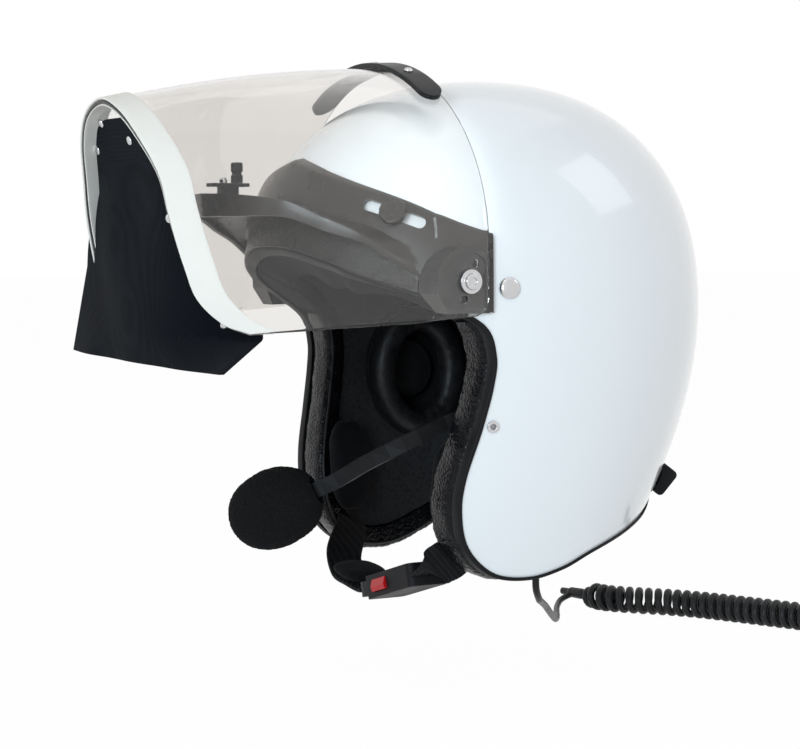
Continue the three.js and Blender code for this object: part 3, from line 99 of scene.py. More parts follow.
# The shell's surface, in millimetres, as in the part's source
HALF_W, HALF_L, CENTRE_Y, WIDEST_Z, DOME = 122.0, 145.0, -5.0, -20.0, 141.0
SIDE_TUCK, REAR_TUCK, TUCK_DEPTH = 22.0, 66.4, 155.0
PIVOT_X, PIVOT_Y = 118.0, -81.5
FLOOR = -244.0
PLAN_P, DOME_P = 2.1, 2.3
RIM = [
    (-1.15, 0.155), (-1.035, 0.142), (-0.94, 0.071), (-0.85, 0.01), (-0.65, -0.078),
    (-0.475, -0.18), (-0.428, -0.3), (-0.434, -0.42), (-0.47, -0.6), (-0.517, -0.8),
    (-0.522, -0.95), (-0.478, -1.1), (-0.36, -1.21), (-0.2, -1.234), (-0.05, -1.2),
    (0.1, -1.135), (0.345, -1.06), (0.572, -0.993), (0.676, -0.9), (0.772, -0.83), (1.2, -0.55),
]


def plan(z, offset=0.0):
    """Half width, and half length to the front and to the rear, of the shell's plan at a height."""
    if z >= WIDEST_Z:
        rise = min((z - WIDEST_Z) / (DOME + offset), 1.0)
        share = max(1 - rise**DOME_P, 0.0) ** (1 / DOME_P)
        return (HALF_W + offset) * share, (HALF_L + offset) * share, (HALF_L + offset) * share
    drop = (WIDEST_Z - z) / TUCK_DEPTH
    long = HALF_L + offset
    return HALF_W + offset - SIDE_TUCK * drop**2, long, long - REAR_TUCK * drop**1.85


def halves(z, ahead, offset=0.0):
    """Half width and the half length on one side of the centre."""
    width, front, rear = plan(z, offset)
    return width, front if ahead else rear


def shell_at(turn, z, offset=0.0):
    """The shell's surface at a turn from straight ahead and a height."""
    across, ahead = math.sin(turn), math.cos(turn)
    width, length = halves(z, ahead > 0, offset)
    reach = (abs(across / width) ** PLAN_P + abs(ahead / length) ** PLAN_P) ** (-1 / PLAN_P)
    return Vector((reach * across, CENTRE_Y - reach * ahead, z))


def shell_x(y, z, offset=0.0):
    width, length = halves(z, y < CENTRE_Y, offset)
    share = min(abs(y - CENTRE_Y) / length, 1.0)
    return width * (1 - share**PLAN_P) ** (1 / PLAN_P)


def outward(point):
    """Normal of the shell's surface near a point."""
    def level(p):
        width, length = halves(p.z, p.y < CENTRE_Y)
        return abs(p.x / width) ** PLAN_P + abs((p.y - CENTRE_Y) / length) ** PLAN_P

    step = 0.5
    out = Vector()
    for i in range(3):
        move = Vector((step if k == i else 0.0 for k in range(3)))
        out[i] = level(point + move) - level(point - move)
    return out.normalized()


def catmull(points, per, alpha=0.5):
    """A smooth line through points."""
    pts = [Vector(p) for p in points]
    pts = [pts[0] * 2 - pts[1], *pts, pts[-1] * 2 - pts[-2]]
    line = []
    for i in range(1, len(pts) - 2):
        a, b, c, d = pts[i - 1 : i + 3]
        ta = max((b - a).length, 1e-6) ** alpha
        tb = max((c - b).length, 1e-6) ** alpha
        tc = max((d - c).length, 1e-6) ** alpha
        ma = ((b - a) / ta - (c - a) / (ta + tb) + (c - b) / tb) * tb
        mb = ((c - b) / tb - (d - b) / (tb + tc) + (d - c) / tc) * tb
        for k in range(per):
            t = k / per
            line.append(
                (2 * t**3 - 3 * t**2 + 1) * b + (t**3 - 2 * t**2 + t) * ma
                + (-2 * t**3 + 3 * t**2) * c + (t**3 - t**2) * mb
            )
    line.append(pts[-2].copy())
    return line


class Route:
    """A line of points, with places by share of its length."""

    def __init__(self, line):
        self.line = line
        self.gone = [0.0]
        for a, b in zip(line, line[1:]):
            self.gone.append(self.gone[-1] + (b - a).length)

    def find(self, share):
        """The piece of line that a share of the length falls on, and the share along that piece."""
        want = min(max(share, 0.0), 1.0) * self.gone[-1]
        k = min(max(int(np.searchsorted(self.gone, want)) - 1, 0), len(self.line) - 2)
        span = self.gone[k + 1] - self.gone[k]
        return k, (want - self.gone[k]) / span if span else 0

    def at(self, share):
        k, t = self.find(share)
        return self.line[k].lerp(self.line[k + 1], t)

    def ahead(self, share, step=0.0004):
        return (self.at(share + step) - self.at(share - step)).normalized()

    def steps(self, count):
        return [self.at(k / count) for k in range(count + 1)]


# Mesh helpers: shapes are given in millimetres
def add_mesh(name, verts, faces, look=None, smooth=40):
    mesh = bpy.data.meshes.new(name)
    mesh.from_pydata([tuple(Vector(v) * MM) for v in verts], [], faces)
    mesh.validate()
    obj = bpy.data.objects.new(name, mesh)
    scene.collection.objects.link(obj)
    if look:
        mesh.materials.append(M[look])
    outside(obj)
    shade(obj, smooth)
    return obj


def paint(obj, look):
    obj.data.materials.clear()
    obj.data.materials.append(M[look])


def bevel(obj, width, segments, angle):
    mod = obj.modifiers.new("edge", "BEVEL")
    mod.width = width * MM
    mod.segments = segments
    mod.limit_method = "ANGLE"
    mod.angle_limit = math.radians(angle)


def displaced(obj, shift):
    """Moves each vertex by what shift says, which reads its place and normal."""
    bm = bmesh.new()
    bm.from_mesh(obj.data)
    bm.normal_update()
    moves = [shift(v) for v in bm.verts]
    for v, move in zip(bm.verts, moves):
        v.co += move
    bm.to_mesh(obj.data)
    bm.free()


def outside(obj):
    bm = bmesh.new()
    bm.from_mesh(obj.data)
    bmesh.ops.recalc_face_normals(bm, faces=bm.faces)
    bm.to_mesh(obj.data)
    bm.free()


def shade(obj, angle=40):
    obj.data.shade_smooth()
    if angle:
        obj.data.set_sharp_from_angle(angle=math.radians(angle))


def apply_all(obj):
    bpy.context.view_layer.update()
    graph = bpy.context.evaluated_depsgraph_get()
    mesh = bpy.data.meshes.new_from_object(obj.evaluated_get(graph))
    old = obj.data
    obj.modifiers.clear()
    obj.data = mesh
    bpy.data.meshes.remove(old)


def cut(obj, tool, how="DIFFERENCE"):
    mod = obj.modifiers.new("cut", "BOOLEAN")
    mod.operation = how
    mod.solver = "EXACT"
    mod.object = tool
    apply_all(obj)
    bpy.data.objects.remove(tool)


def smoothed(obj):
    """One level of subdivision, applied."""
    mod = obj.modifiers.new("round", "SUBSURF")
    mod.levels = mod.render_levels = 1
    apply_all(obj)


def mirrored(point, side):
    """A point of the left half, or for side -1 its mirror image."""
    return Vector((point.x * side, point.y, point.z))


SIDES = ((1, "L", "left"), (-1, "R", "right"))


def tube(rings, closed=False, caps=True):
    """Verts and faces through rings of equal count."""
    count = len(rings[0])
    verts = [p for ring in rings for p in ring]
    faces = []
    last = len(rings) if closed else len(rings) - 1
    for k in range(last):
        a, b = k * count, ((k + 1) % len(rings)) * count
        for i in range(count):
            j = (i + 1) % count
            faces.append((a + i, a + j, b + j, b + i))
    if caps and not closed:
        faces.append(tuple(range(count))[::-1])
        faces.append(tuple((len(rings) - 1) * count + i for i in range(count)))
    return verts, faces


def sweep(frames, section, closed=False):
    """A section of (a, b) values carried along frames of (point, direction a, direction b)."""
    return tube([[p + u * a + v * b for a, b in section] for p, u, v in frames], closed)


def plate(grid_in, grid_out):
    """A closed sheet between two grids of points."""
    rows, cols = len(grid_in), len(grid_in[0])
    verts = [p for row in grid_in for p in row] + [p for row in grid_out for p in row]
    top = rows * cols
    faces = []
    for j in range(rows - 1):
        for i in range(cols - 1):
            a = j * cols + i
            faces.append((a, a + cols, a + cols + 1, a + 1))
            faces.append((top + a, top + a + 1, top + a + cols + 1, top + a + cols))
    edge = [i for i in range(cols)] + [j * cols + cols - 1 for j in range(1, rows)]
    edge += [(rows - 1) * cols + i for i in range(cols - 2, -1, -1)]
    edge += [j * cols for j in range(rows - 2, 0, -1)]
    for a, b in zip(edge, edge[1:] + edge[:1]):
        faces.append((a, b, top + b, top + a))
    return verts, faces


def body_mesh(name, offset, columns=160, dome_rows=44, skirt_rows=22, depth=182.0):
    rings = []
    heights = [WIDEST_Z - depth * (1 - k / skirt_rows) for k in range(skirt_rows)]
    for k in range(dome_rows):
        rise = math.sin(k / dome_rows * math.pi / 2) ** (2 / DOME_P)
        heights.append(WIDEST_Z + (DOME + offset) * rise)
    for z in heights:
        ring = []
        for i in range(columns):
            turn = i / columns * 2 * math.pi
            across, ahead = math.sin(turn), math.cos(turn)
            width, length = halves(z, ahead > 0, offset)
            ring.append(Vector((
                width * math.copysign(abs(across) ** (2 / PLAN_P), across),
                CENTRE_Y - length * math.copysign(abs(ahead) ** (2 / PLAN_P), ahead), z,
            )))
        rings.append(ring)
    verts, faces = tube(rings, caps=False)
    faces.append(tuple(range(columns))[::-1])
    top = len(verts)
    verts.append(Vector((0, CENTRE_Y, WIDEST_Z + DOME + offset)))
    last = (len(rings) - 1) * columns
    faces += [(last + i, last + (i + 1) % columns, top) for i in range(columns)]
    return add_mesh(name, verts, faces)


def rim_prism(name, inset=0.0):
    line = RIM_ROUTE.steps(150)
    pts = []
    for k, p in enumerate(line):
        d = (line[min(k + 1, 150)] - line[max(k - 1, 0)]).normalized()
        pts.append(Vector((0, p.y - d.z * inset, p.z + d.y * inset)))
    pts += [Vector((0, 290, pts[-1].z)), Vector((0, 290, 140)), Vector((0, -290, 140)),
            Vector((0, -290, pts[0].z))]
    rings = [[p + Vector((x, 0, 0)) for p in pts] for x in (-140, 140)]
    return add_mesh(name, *tube(rings))


# Materials
class Look:
    """A material whose nodes are made in code."""

    def __init__(self, name, color, rough, **values):
        self.mat = bpy.data.materials.new(name)
        self.mat.use_nodes = True
        self.tree = self.mat.node_tree
        self.bsdf = self.tree.nodes["Principled BSDF"]
        self.bsdf.inputs["Base Color"].default_value = (*color, 1)
        self.bsdf.inputs["Roughness"].default_value = rough
        for key, value in values.items():
            self.bsdf.inputs[key.replace("_", " ")].default_value = value
        self.color = color
        self.coords = self.node("ShaderNodeTexCoord", {}).outputs["Object"]
        self.last_bump = None

    def node(self, kind, values, **props):
        """A new node; its values are constants or other nodes' sockets."""
        made = self.tree.nodes.new(kind)
        for key, value in props.items():
            setattr(made, key, value)
        for key, value in values.items():
            if isinstance(value, bpy.types.NodeSocket):
                self.tree.links.new(value, made.inputs[key])
            else:
                made.inputs[key].default_value = value
        return made

    def drive(self, socket, name):
        self.tree.links.new(socket, self.bsdf.inputs[name])

    def spread(self, stretch):
        if stretch is None:
            return self.coords
        return self.node("ShaderNodeMapping", {"Scale": stretch, "Vector": self.coords}).outputs["Vector"]

    def noise(self, scale, detail=3.0, rough=0.55, stretch=None):
        return self.node("ShaderNodeTexNoise", {
            "Scale": scale, "Detail": detail, "Roughness": rough, "Vector": self.spread(stretch),
        }).outputs["Fac"]

    def cells(self, scale, smooth):
        return self.node("ShaderNodeTexVoronoi", {
            "Scale": scale, "Smoothness": smooth, "Vector": self.coords,
        }, feature="SMOOTH_F1").outputs["Distance"]

    def waves(self, scale, direction, distortion, stretch=None):
        return self.node("ShaderNodeTexWave", {
            "Scale": scale, "Distortion": distortion, "Vector": self.spread(stretch),
        }, wave_type="BANDS", bands_direction=direction).outputs["Fac"]

    def times(self, a, b):
        return self.node("ShaderNodeMath", {0: a, 1: b}, operation="MULTIPLY").outputs[0]

    def ramp(self, source, low, high, start, end):
        return self.node("ShaderNodeMapRange", {
            "Value": source, "From Min": start, "From Max": end, "To Min": low, "To Max": high,
        }).outputs["Result"]

    def roughness(self, source, low, high, start=0.3, end=0.7):
        self.drive(self.ramp(source, low, high, start, end), "Roughness")

    def tint(self, source, other, start=0.35, end=0.65):
        self.drive(self.node("ShaderNodeMix", {
            "A": (*self.color, 1), "B": (*other, 1), "Factor": self.ramp(source, 0, 1, start, end),
        }, data_type="RGBA").outputs["Result"], "Base Color")

    def bump(self, source, strength, depth):
        values = {"Strength": strength, "Distance": depth * MM, "Height": source}
        if self.last_bump:
            values["Normal"] = self.last_bump
        self.last_bump = self.node("ShaderNodeBump", values).outputs["Normal"]
        self.drive(self.last_bump, "Normal")


def moulded(name, color, rough, grain=1400.0, depth=0.05, shine=0.2, **values):
    look = Look(name, color, rough, Specular_IOR_Level=shine, **values)
    fine = look.noise(grain, 2)
    look.bump(fine, 0.35, depth)
    wide = look.noise(55, 4)
    look.roughness(wide, rough - 0.06, rough + 0.08)
    look.tint(wide, tuple(min(c * 1.2 + 0.002, 0.5 + c / 2) if c < 0.5 else c * 1.02 for c in color))
    return look.mat


def leatherette(name, color, rough, grain=520.0, strength=0.6, shine=0.25):
    look = Look(name, color, rough, Specular_IOR_Level=shine)
    pebbles = look.cells(grain, 0.25)
    look.bump(pebbles, strength, 0.5)
    look.bump(look.noise(90, 4), 0.25, 0.5)
    look.roughness(pebbles, rough, rough + 0.12, 0.1, 0.6)
    look.tint(look.noise(140, 3), tuple(c * 1.5 + 0.002 for c in color))
    return look.mat


def knit(name, color, pitch=1.1, rough=0.92):
    look = Look(name, color, rough, Sheen_Weight=0.03, Sheen_Roughness=0.5, Specular_IOR_Level=0.08)
    scale = math.pi / (pitch * MM) / 10
    a = look.waves(scale, "DIAGONAL", 0.4)
    b = look.waves(scale, "DIAGONAL", 0.4, (1, -1, 1))
    both = look.times(a, b)
    look.bump(both, 0.6, 0.2)
    look.bump(look.noise(60, 4), 0.3, 0.8)
    look.tint(both, tuple(c * 1.6 + 0.002 for c in color), 0.2, 0.8)
    return look.mat


def shell_paint():
    look = Look("shell_white", (0.83, 0.84, 0.855), 0.2, Coat_Weight=1.0, Coat_Roughness=0.035,
                Coat_IOR=1.5)
    haze = look.noise(9, 3, 0.5)
    look.roughness(haze, 0.2, 0.26, 0.2, 0.8)
    look.bump(look.noise(420, 2), 0.05, 0.03)
    look.tint(look.noise(5, 2), (0.84, 0.85, 0.862), 0.2, 0.8)
    return look.mat


def visor_clear():
    look = Look("visor_clear", (0.85, 0.832, 0.812), 0.015, Transmission_Weight=1.0, IOR=1.45,
                Specular_IOR_Level=0.18)
    smear = look.noise(26, 5, 0.6)
    look.roughness(smear, 0.0, 0.05, 0.45, 0.8)
    return look.mat


def metal(name, color, rough):
    look = Look(name, color, rough, Metallic=1.0)
    scratches = look.noise(900, 3, 0.6, (1, 1, 14))
    look.roughness(scratches, rough, rough + 0.12)
    look.bump(look.noise(300, 3), 0.08, 0.03)
    return look.mat


def open_foam(name, color):
    look = Look(name, color, 0.98, Specular_IOR_Level=0.12)
    pits = look.cells(1500, 0.1)
    look.bump(pits, 0.9, 0.4)
    look.bump(look.noise(350, 4), 0.4, 0.4)
    look.tint(pits, tuple(c * 1.8 + 0.002 for c in color), 0.2, 0.7)
    return look.mat


def bead_foam():
    look = Look("liner_foam", (0.012, 0.012, 0.013), 0.9, Specular_IOR_Level=0.2)
    beads = look.cells(330, 0.15)
    look.bump(beads, 0.6, 0.5)
    look.tint(beads, (0.022, 0.022, 0.024), 0.1, 0.5)
    return look.mat


def webbing(name, color):
    look = Look(name, color, 0.72, Specular_IOR_Level=0.12)
    weft = look.waves(math.pi / (1.3 * MM) / 10, "Y", 0.3)
    warp = look.waves(math.pi / (2.2 * MM) / 10, "DIAGONAL", 0.3)
    both = look.times(weft, warp)
    look.bump(both, 0.9, 0.35)
    look.tint(both, tuple(c * 2 + 0.005 for c in color), 0.1, 0.9)
    return look.mat


M = {
    "shell_white": shell_paint(),
    "trim_rubber": moulded("trim_rubber", (0.007, 0.007, 0.008), 0.5, 900, shine=0.12),
    "liner_foam": bead_foam(),
    "pad_cloth": knit("pad_cloth", (0.005, 0.005, 0.006)),
    "roll_leather": leatherette("roll_leather", (0.004, 0.004, 0.005), 0.15, 560, 0.8, 0.13),
    "seal_leather": leatherette("seal_leather", (0.007, 0.007, 0.008), 0.36, 900, 0.3),
    "black_plastic": moulded("black_plastic", (0.010, 0.010, 0.011), 0.42, shine=0.22),
    "shield_dark": moulded("shield_dark", (0.034, 0.029, 0.026), 0.3, 2600, 0.015, 0.35, Coat_Weight=0.15,
                           Coat_Roughness=0.2),
    "shield_grain": leatherette("shield_grain", (0.030, 0.027, 0.025), 0.2, 800, 0.8),
    "base_plate": leatherette("base_plate", (0.045, 0.042, 0.041), 0.3, 1100, 0.3),
    "visor_clear": visor_clear(),
    "band_white": moulded("band_white", (0.845, 0.805, 0.75), 0.55, 700, 0.06, 0.3),
    "neoprene": knit("neoprene", (0.0035, 0.0045, 0.007), 0.8, 0.97),
    "chrome": metal("chrome", (0.6, 0.6, 0.61), 0.14),
    "mic_foam": open_foam("mic_foam", (0.004, 0.004, 0.0045)),
    "red_plastic": moulded("red_plastic", (0.5, 0.006, 0.010), 0.34, 1500, 0.03, 0.3),
    "webbing": webbing("webbing", (0.009, 0.009, 0.010)),
    "cord_black": moulded("cord_black", (0.013, 0.013, 0.014), 0.4, 1100, 0.04),
    "thread": moulded("thread", (0.03, 0.03, 0.032), 0.7, 3000, 0.03),
}


def dress(names, look, angle=35, edge=0.0, segments=2):
    """Carried-over solids get their material, soft shading and, where given, rounded edges."""
    for name in names:
        paint(nodes[name], look)
        shade(nodes[name], angle)
        if edge:
            bevel(nodes[name], edge, segments, 32)


def settle(obj, body, slot, *stands_for):
    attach(obj, body)
    if stands_for:
        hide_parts(*stands_for)
    return obj


def pair(name):
    return [name + "_left", name + "_right"]


# Forms shared by several pieces
RIM_ROUTE = Route(catmull([(0, y * HALF_L, z * DOME) for y, z in RIM], 24, 0.0))


def rim_at(share, inset):
    p, t = RIM_ROUTE.at(share), RIM_ROUTE.ahead(share)
    return p.y - t.z * inset, p.z + t.y * inset


def noise3(p, scale, seed=0.0):
    return noise.noise(Vector((p.x * scale + seed, p.y * scale - seed, p.z * scale + 2 * seed)))


def ruffle(obj, depth, size, seed=0.0, octaves=2):
    """Small uneven swells along the normals, in millimetres."""
    def shift(v):
        p = v.co / MM
        push = sum(noise3(p, 2**k / size, seed + k) / 2**k for k in range(octaves))
        return v.normal * push * depth * MM

    displaced(obj, shift)


def lathe(name, profile, axis, place, look, segments=64, smooth=30):
    """A turned piece: profile values are radius and place along the axis."""
    turn = Vector((0, 0, 1)).rotation_difference(Vector(axis))
    place = Vector(place)
    rings = []
    for radius, along in profile:
        r = max(radius, 0.02)
        rings.append([place + turn @ Vector((r * math.cos(2 * math.pi * i / segments),
                                              r * math.sin(2 * math.pi * i / segments), along))
                      for i in range(segments)])
    return add_mesh(name, *tube(rings), look, smooth)


def rounded(profile, radius, steps=4):
    """A profile with its inner corners rounded."""
    out = [profile[0]]
    for a, b, c in zip(profile, profile[1:], profile[2:]):
        a, b, c = Vector(a), Vector(b), Vector(c)
        r = min(radius, (a - b).length * 0.45, (c - b).length * 0.45)
        p, q = b + (a - b).normalized() * r, b + (c - b).normalized() * r
        for k in range(steps + 1):
            t = k / steps
            out.append(tuple(p * (1 - t) ** 2 + b * 2 * t * (1 - t) + q * t**2))
    out.append(profile[-1])
    return out


def pipe(name, line, radius, look, sides=12):
    """A round cord along a line of points."""
    frames = []
    side = Vector((0, 0, 1))
    for k, p in enumerate(line):
        along = (line[min(k + 1, len(line) - 1)] - line[max(k - 1, 0)]).normalized()
        side = (side - along * side.dot(along)).normalized()
        frames.append((p, side, along.cross(side)))
    turn = [2 * math.pi * i / sides for i in range(sides)]
    section = [(radius * math.cos(t), radius * math.sin(t)) for t in turn]
    return add_mesh(name, *sweep(frames, section), look, 60)


def stitches(name, lines, look, length, space, width, lift):
    """Rows of thread stitches, each along a line of (point, normal) pairs."""
    verts, faces = [], []
    for line in lines:
        walk = Route([p for p, _ in line])
        whole = walk.gone[-1]
        place = space
        while place + length < whole:
            rings = []
            for i in range(6):
                arc = math.sin(math.pi * i / 5)
                want = place + length * i / 5
                k, t = walk.find(want / whole)
                out = line[k][1].lerp(line[k + 1][1], t).normalized()
                p = walk.at(want / whole)
                along = (walk.at((want + 0.1) / whole) - p).normalized()
                side = out.cross(along).normalized()
                fat = 0.35 + 0.65 * arc**0.5
                centre = p + out * (lift * arc - 0.1)
                rings.append([
                    centre + side * (width / 2 * fat * math.cos(a)) + out * (0.22 * fat * math.sin(a))
                    for a in (0, 1.05, 2.1, 3.14, 4.19, 5.24)
                ])
            more, sides = tube(rings)
            faces += [tuple(len(verts) + i for i in face) for face in sides]
            verts += more
            place += length + space
    return add_mesh(name, verts, faces, look, 60)


# Shell, with its inside, and the rubber channel on its rim
def rim_half():
    """The rim's left half on the outer surface, from the front to the rear."""
    half = []
    for p in RIM_ROUTE.steps(1200):
        if abs(p.y - CENTRE_Y) <= halves(p.z, p.y < CENTRE_Y)[1]:
            half.append(Vector((shell_x(p.y, p.z), p.y, p.z)))
    for end in (0, -1):
        first = half[end]
        width, length = halves(first.z, first.y < CENTRE_Y)
        length = math.copysign(length, first.y - CENTRE_Y)
        extra = []
        for k in range(24):
            x = first.x * k / 24
            y = CENTRE_Y + length * (1 - (x / width) ** PLAN_P) ** (1 / PLAN_P)
            extra.append(Vector((x, y, first.z)))
        half = extra + half if end == 0 else half + extra[::-1]
    return half


RIM_HALF = rim_half()


def rim_frames(count, low_y=-999.0, high_y=999.0):
    """Point, through-the-wall and beyond-the-rim steps along the left half of the rim.

    The wall is cut straight across, so both steps are skewed to stay on the cut and on the surface."""
    first = next(i for i, p in enumerate(RIM_HALF) if p.y >= low_y and (low_y < -500 or p.z < -100))
    last = next((i for i, p in enumerate(RIM_HALF) if i > first and p.y > high_y), len(RIM_HALF))
    line = Route(RIM_HALF[first:last]).steps(count)
    frames = []
    for k, p in enumerate(line):
        along = (line[min(k + 1, count)] - line[max(k - 1, 0)]).normalized()
        if p.x < 1e-3:
            along = Vector((1 if k == 0 else -1, 0, 0))
        out = outward(p)
        side = Vector((0, along.y, along.z)) if abs(along.x) < 0.97 else rim_side(p)
        face = Vector((1, 0, 0)).cross(side).normalized()
        beyond = along.cross(out).normalized()
        if face.dot(beyond) < 0:
            face.negate()
        through = along.cross(face).normalized()
        if through.dot(out) < 0:
            through.negate()
        through /= max(through.dot(out), 0.4)
        beyond /= max(face.dot(beyond), 0.4)
        frames.append((p, through, beyond))
    return frames


def rim_side(p):
    """Direction of the rim's side view near a point."""
    line = RIM_ROUTE.line
    k = min(range(1, len(line)), key=lambda i: abs(line[i].y - p.y) + abs(line[i].z - p.z))
    return line[k] - line[k - 1]


def mirror_frames(frames):
    return [tuple(mirrored(v, -1) for v in frame) for frame in frames]


def build_shell():
    shell = body_mesh("shell", 0)
    cut(shell, body_mesh("inner", -4, 120, 32, 14, 178.0))
    cut(shell, rim_prism("prism"), "INTERSECT")
    for side, _, _ in SIDES:
        for radius, y, z, square in ((2.7, -61, -83, True), (4.5, PIVOT_Y, 0, False)):
            place = Vector((shell_x(y, z), y, z))
            axis = outward(place) if square else Vector((1, 0, 0))
            profile = [(0, -14), (radius, -14), (radius, 14), (0, 14)]
            cut(shell, lathe("hole", profile, mirrored(axis, side), mirrored(place, side), "shell_white", 24))
    paint(shell, "shell_white")
    shade(shell, 35)
    settle(shell, "helmet", "shell_white", "outer_shell")


def build_trim():
    left = rim_frames(300)
    loop = left + mirror_frames(left)[::-1][1:-1]
    section = [(1.0, -1.1), (1.2, -0.8), (1.2, 0.5), (0.9, 1.05), (0.2, 1.25), (-4.2, 1.4), (-5.1, 1.2),
               (-5.5, 0.5), (-5.5, -4.4), (-5.0, -4.9), (-4.3, -4.5), (-4.3, 0.3), (0.25, 0.3), (0.25, -1.0)]
    trim = add_mesh("trim", *sweep(loop, section, True), "trim_rubber", 50)
    settle(trim, "helmet", "trim_rubber", "edge_trim")


# Leather rolls that cover the liner's edge
ROLL_IN, ROLL_WALL, ROLL_DEPTH = 6.4, 22.0, 12.0


def roll_section(count):
    """Share through the roll, and millimetres back from its front."""
    out = []
    for k in range(count + 1):
        a = -math.pi / 2 + math.pi * k / count
        s, c = math.sin(a), math.cos(a)
        out.append((0.5 + 0.5 * math.copysign(abs(s) ** 0.6, s), 3.4 - 6.4 * abs(c) ** 0.75))
    return out + [(1, 8), (1, 11.4), (0.9, 12), (0.1, 12), (0, 11.4), (0, 8)]


def drawn_in(section, k, last, reach, press=None):
    """The roll's section, smaller towards the roll's ends. press changes a place before that."""
    small = 1 - 0.25 * max(0.0, 1 - min(k, last - k) / reach) ** 2
    for through, back in section:
        back = press(back) if press else back
        yield 0.5 + (through - 0.5) * small, ROLL_DEPTH / 2 + (back - ROLL_DEPTH / 2) * small


def build_cheek_rolls():
    section = roll_section(26)
    rings, seam = [], []
    first, last, count = 8.3 / 40, 26 / 40, 190

    def at(share, through, back):
        y, z = rim_at(share, back)
        return Vector((shell_x(y, z, -ROLL_IN - ROLL_WALL * through), y, z))

    for k in range(count + 1):
        share = first + (last - first) * k / count
        fold = 0.5 * math.sin(k * 0.62) * math.sin(k * 0.13) + 0.35 * math.sin(k * 1.7 + 1)

        def press(back):
            return 3.4 + (back - 3.4) * (0.9 + 0.06 * fold) if back < 3.4 else back

        rings.append([at(share, *place) for place in drawn_in(section, k, count, 7, press)])
        seam.append(at(share, 0.985, 1.6))
    roll = add_mesh("cheek_roll_L", *tube(rings), "roll_leather", 60)
    welt = pipe("cheek_welt_L", seam[6:-6], 1.1, "seal_leather")
    ruffle(roll, 0.5, 14, 3.1)
    for piece, node in ((roll, "cheek_roll_"), (welt, None)):
        other = mirror_copy(piece, piece.name[:-1] + "R")
        for obj, word in ((piece, "left"), (other, "right")):
            settle(obj, "helmet", "roll_leather", *([node + word] if node else []))


def mirror_copy(obj, name):
    mesh = obj.data.copy()
    other = bpy.data.objects.new(name, mesh)
    scene.collection.objects.link(other)
    for v in mesh.vertices:
        v.co.x = -v.co.x
    mesh.flip_normals()
    return other


def build_cross_roll(node, low, high, name, look):
    frames = rim_frames(110, low, high)
    if low < -500:
        frames = mirror_frames(frames)[::-1][:-1] + frames
    else:
        frames = frames + mirror_frames(frames)[::-1][1:]
    section = roll_section(18)
    rings = []
    for k, (p, out, away) in enumerate(frames):
        rings.append([p - out * (ROLL_IN + ROLL_WALL * through) - away * back for through, back
                      in drawn_in(section, k, len(frames) - 1, 5, lambda back: max(back, 0.15))])
    roll = add_mesh(name, *tube(rings), look, 60)
    ruffle(roll, 0.4, 16, 5.0)
    settle(roll, "helmet", "roll_leather", node)


# Pads: swelled from slightly smaller copies of their solids
def build_pad(node, name, look, voxel, cap, shrink):
    source = nodes[node]
    obj = bpy.data.objects.new(name, source.data.copy())
    scene.collection.objects.link(obj)
    paint(obj, look)
    mod = obj.modifiers.new("remesh", "REMESH")
    mod.mode = "VOXEL"
    mod.voxel_size = voxel * MM
    apply_all(obj)
    displaced(obj, lambda v: v.normal * -shrink * MM)
    start = [v.co.copy() for v in obj.data.vertices]
    swell(obj, start, cap)
    mod = obj.modifiers.new("even", "CORRECTIVE_SMOOTH")
    mod.iterations = 4
    mod.use_only_smooth = True
    smoothed(obj)
    ruffle(obj, 0.35, 11, len(name) * 0.7)
    shade(obj, 0)
    settle(obj, "helmet", look, node)


def swell(obj, start, cap, pressure=4.0):
    """Blows a cushion up as cloth, each point by no more than the cap in millimetres."""
    mod = obj.modifiers.new("cloth", "CLOTH")
    kit = mod.settings
    kit.use_pressure = True
    kit.uniform_pressure_force = pressure
    kit.effector_weights.gravity = 0
    kit.quality = 5
    kit.mass = 0.3
    kit.tension_stiffness = kit.compression_stiffness = 15
    for frame_number in range(1, 21):
        scene.frame_set(frame_number)
    graph = bpy.context.evaluated_depsgraph_get()
    done = obj.evaluated_get(graph).data
    moved = [v.co.copy() for v in done.vertices]
    obj.modifiers.remove(mod)
    for v, a, b in zip(obj.data.vertices, start, moved):
        step = b - a
        if step.length > cap * MM:
            step *= cap * MM / step.length
        v.co = a + step
    scene.frame_set(1)


def build_pads():
    for node, name, look, fill, voxel, cap, shrink in (
        ("cheek_pad_left", "cheek_cushion_L", "pad_cloth", 0.7, 4, 3, 0.8),
        ("cheek_pad_right", "cheek_cushion_R", "pad_cloth", 0.7, 4, 3, 0.8),
        ("chin_pad", "chin_cushion", "pad_cloth", 0.6, 3, 2, 0.6),
        ("crown_pad", "crown_cushion", "pad_cloth", 0.5, 5, 2.4, 1.2),
        ("brow_pad", "brow_cushion", "pad_cloth", 0.6, 4, 2, 1.0),
        ("nape_pad", "nape_cushion", "roll_leather", 0.6, 4, 2, 1.0),
    ):
        build_pad(node, name, look, voxel, cap, shrink)


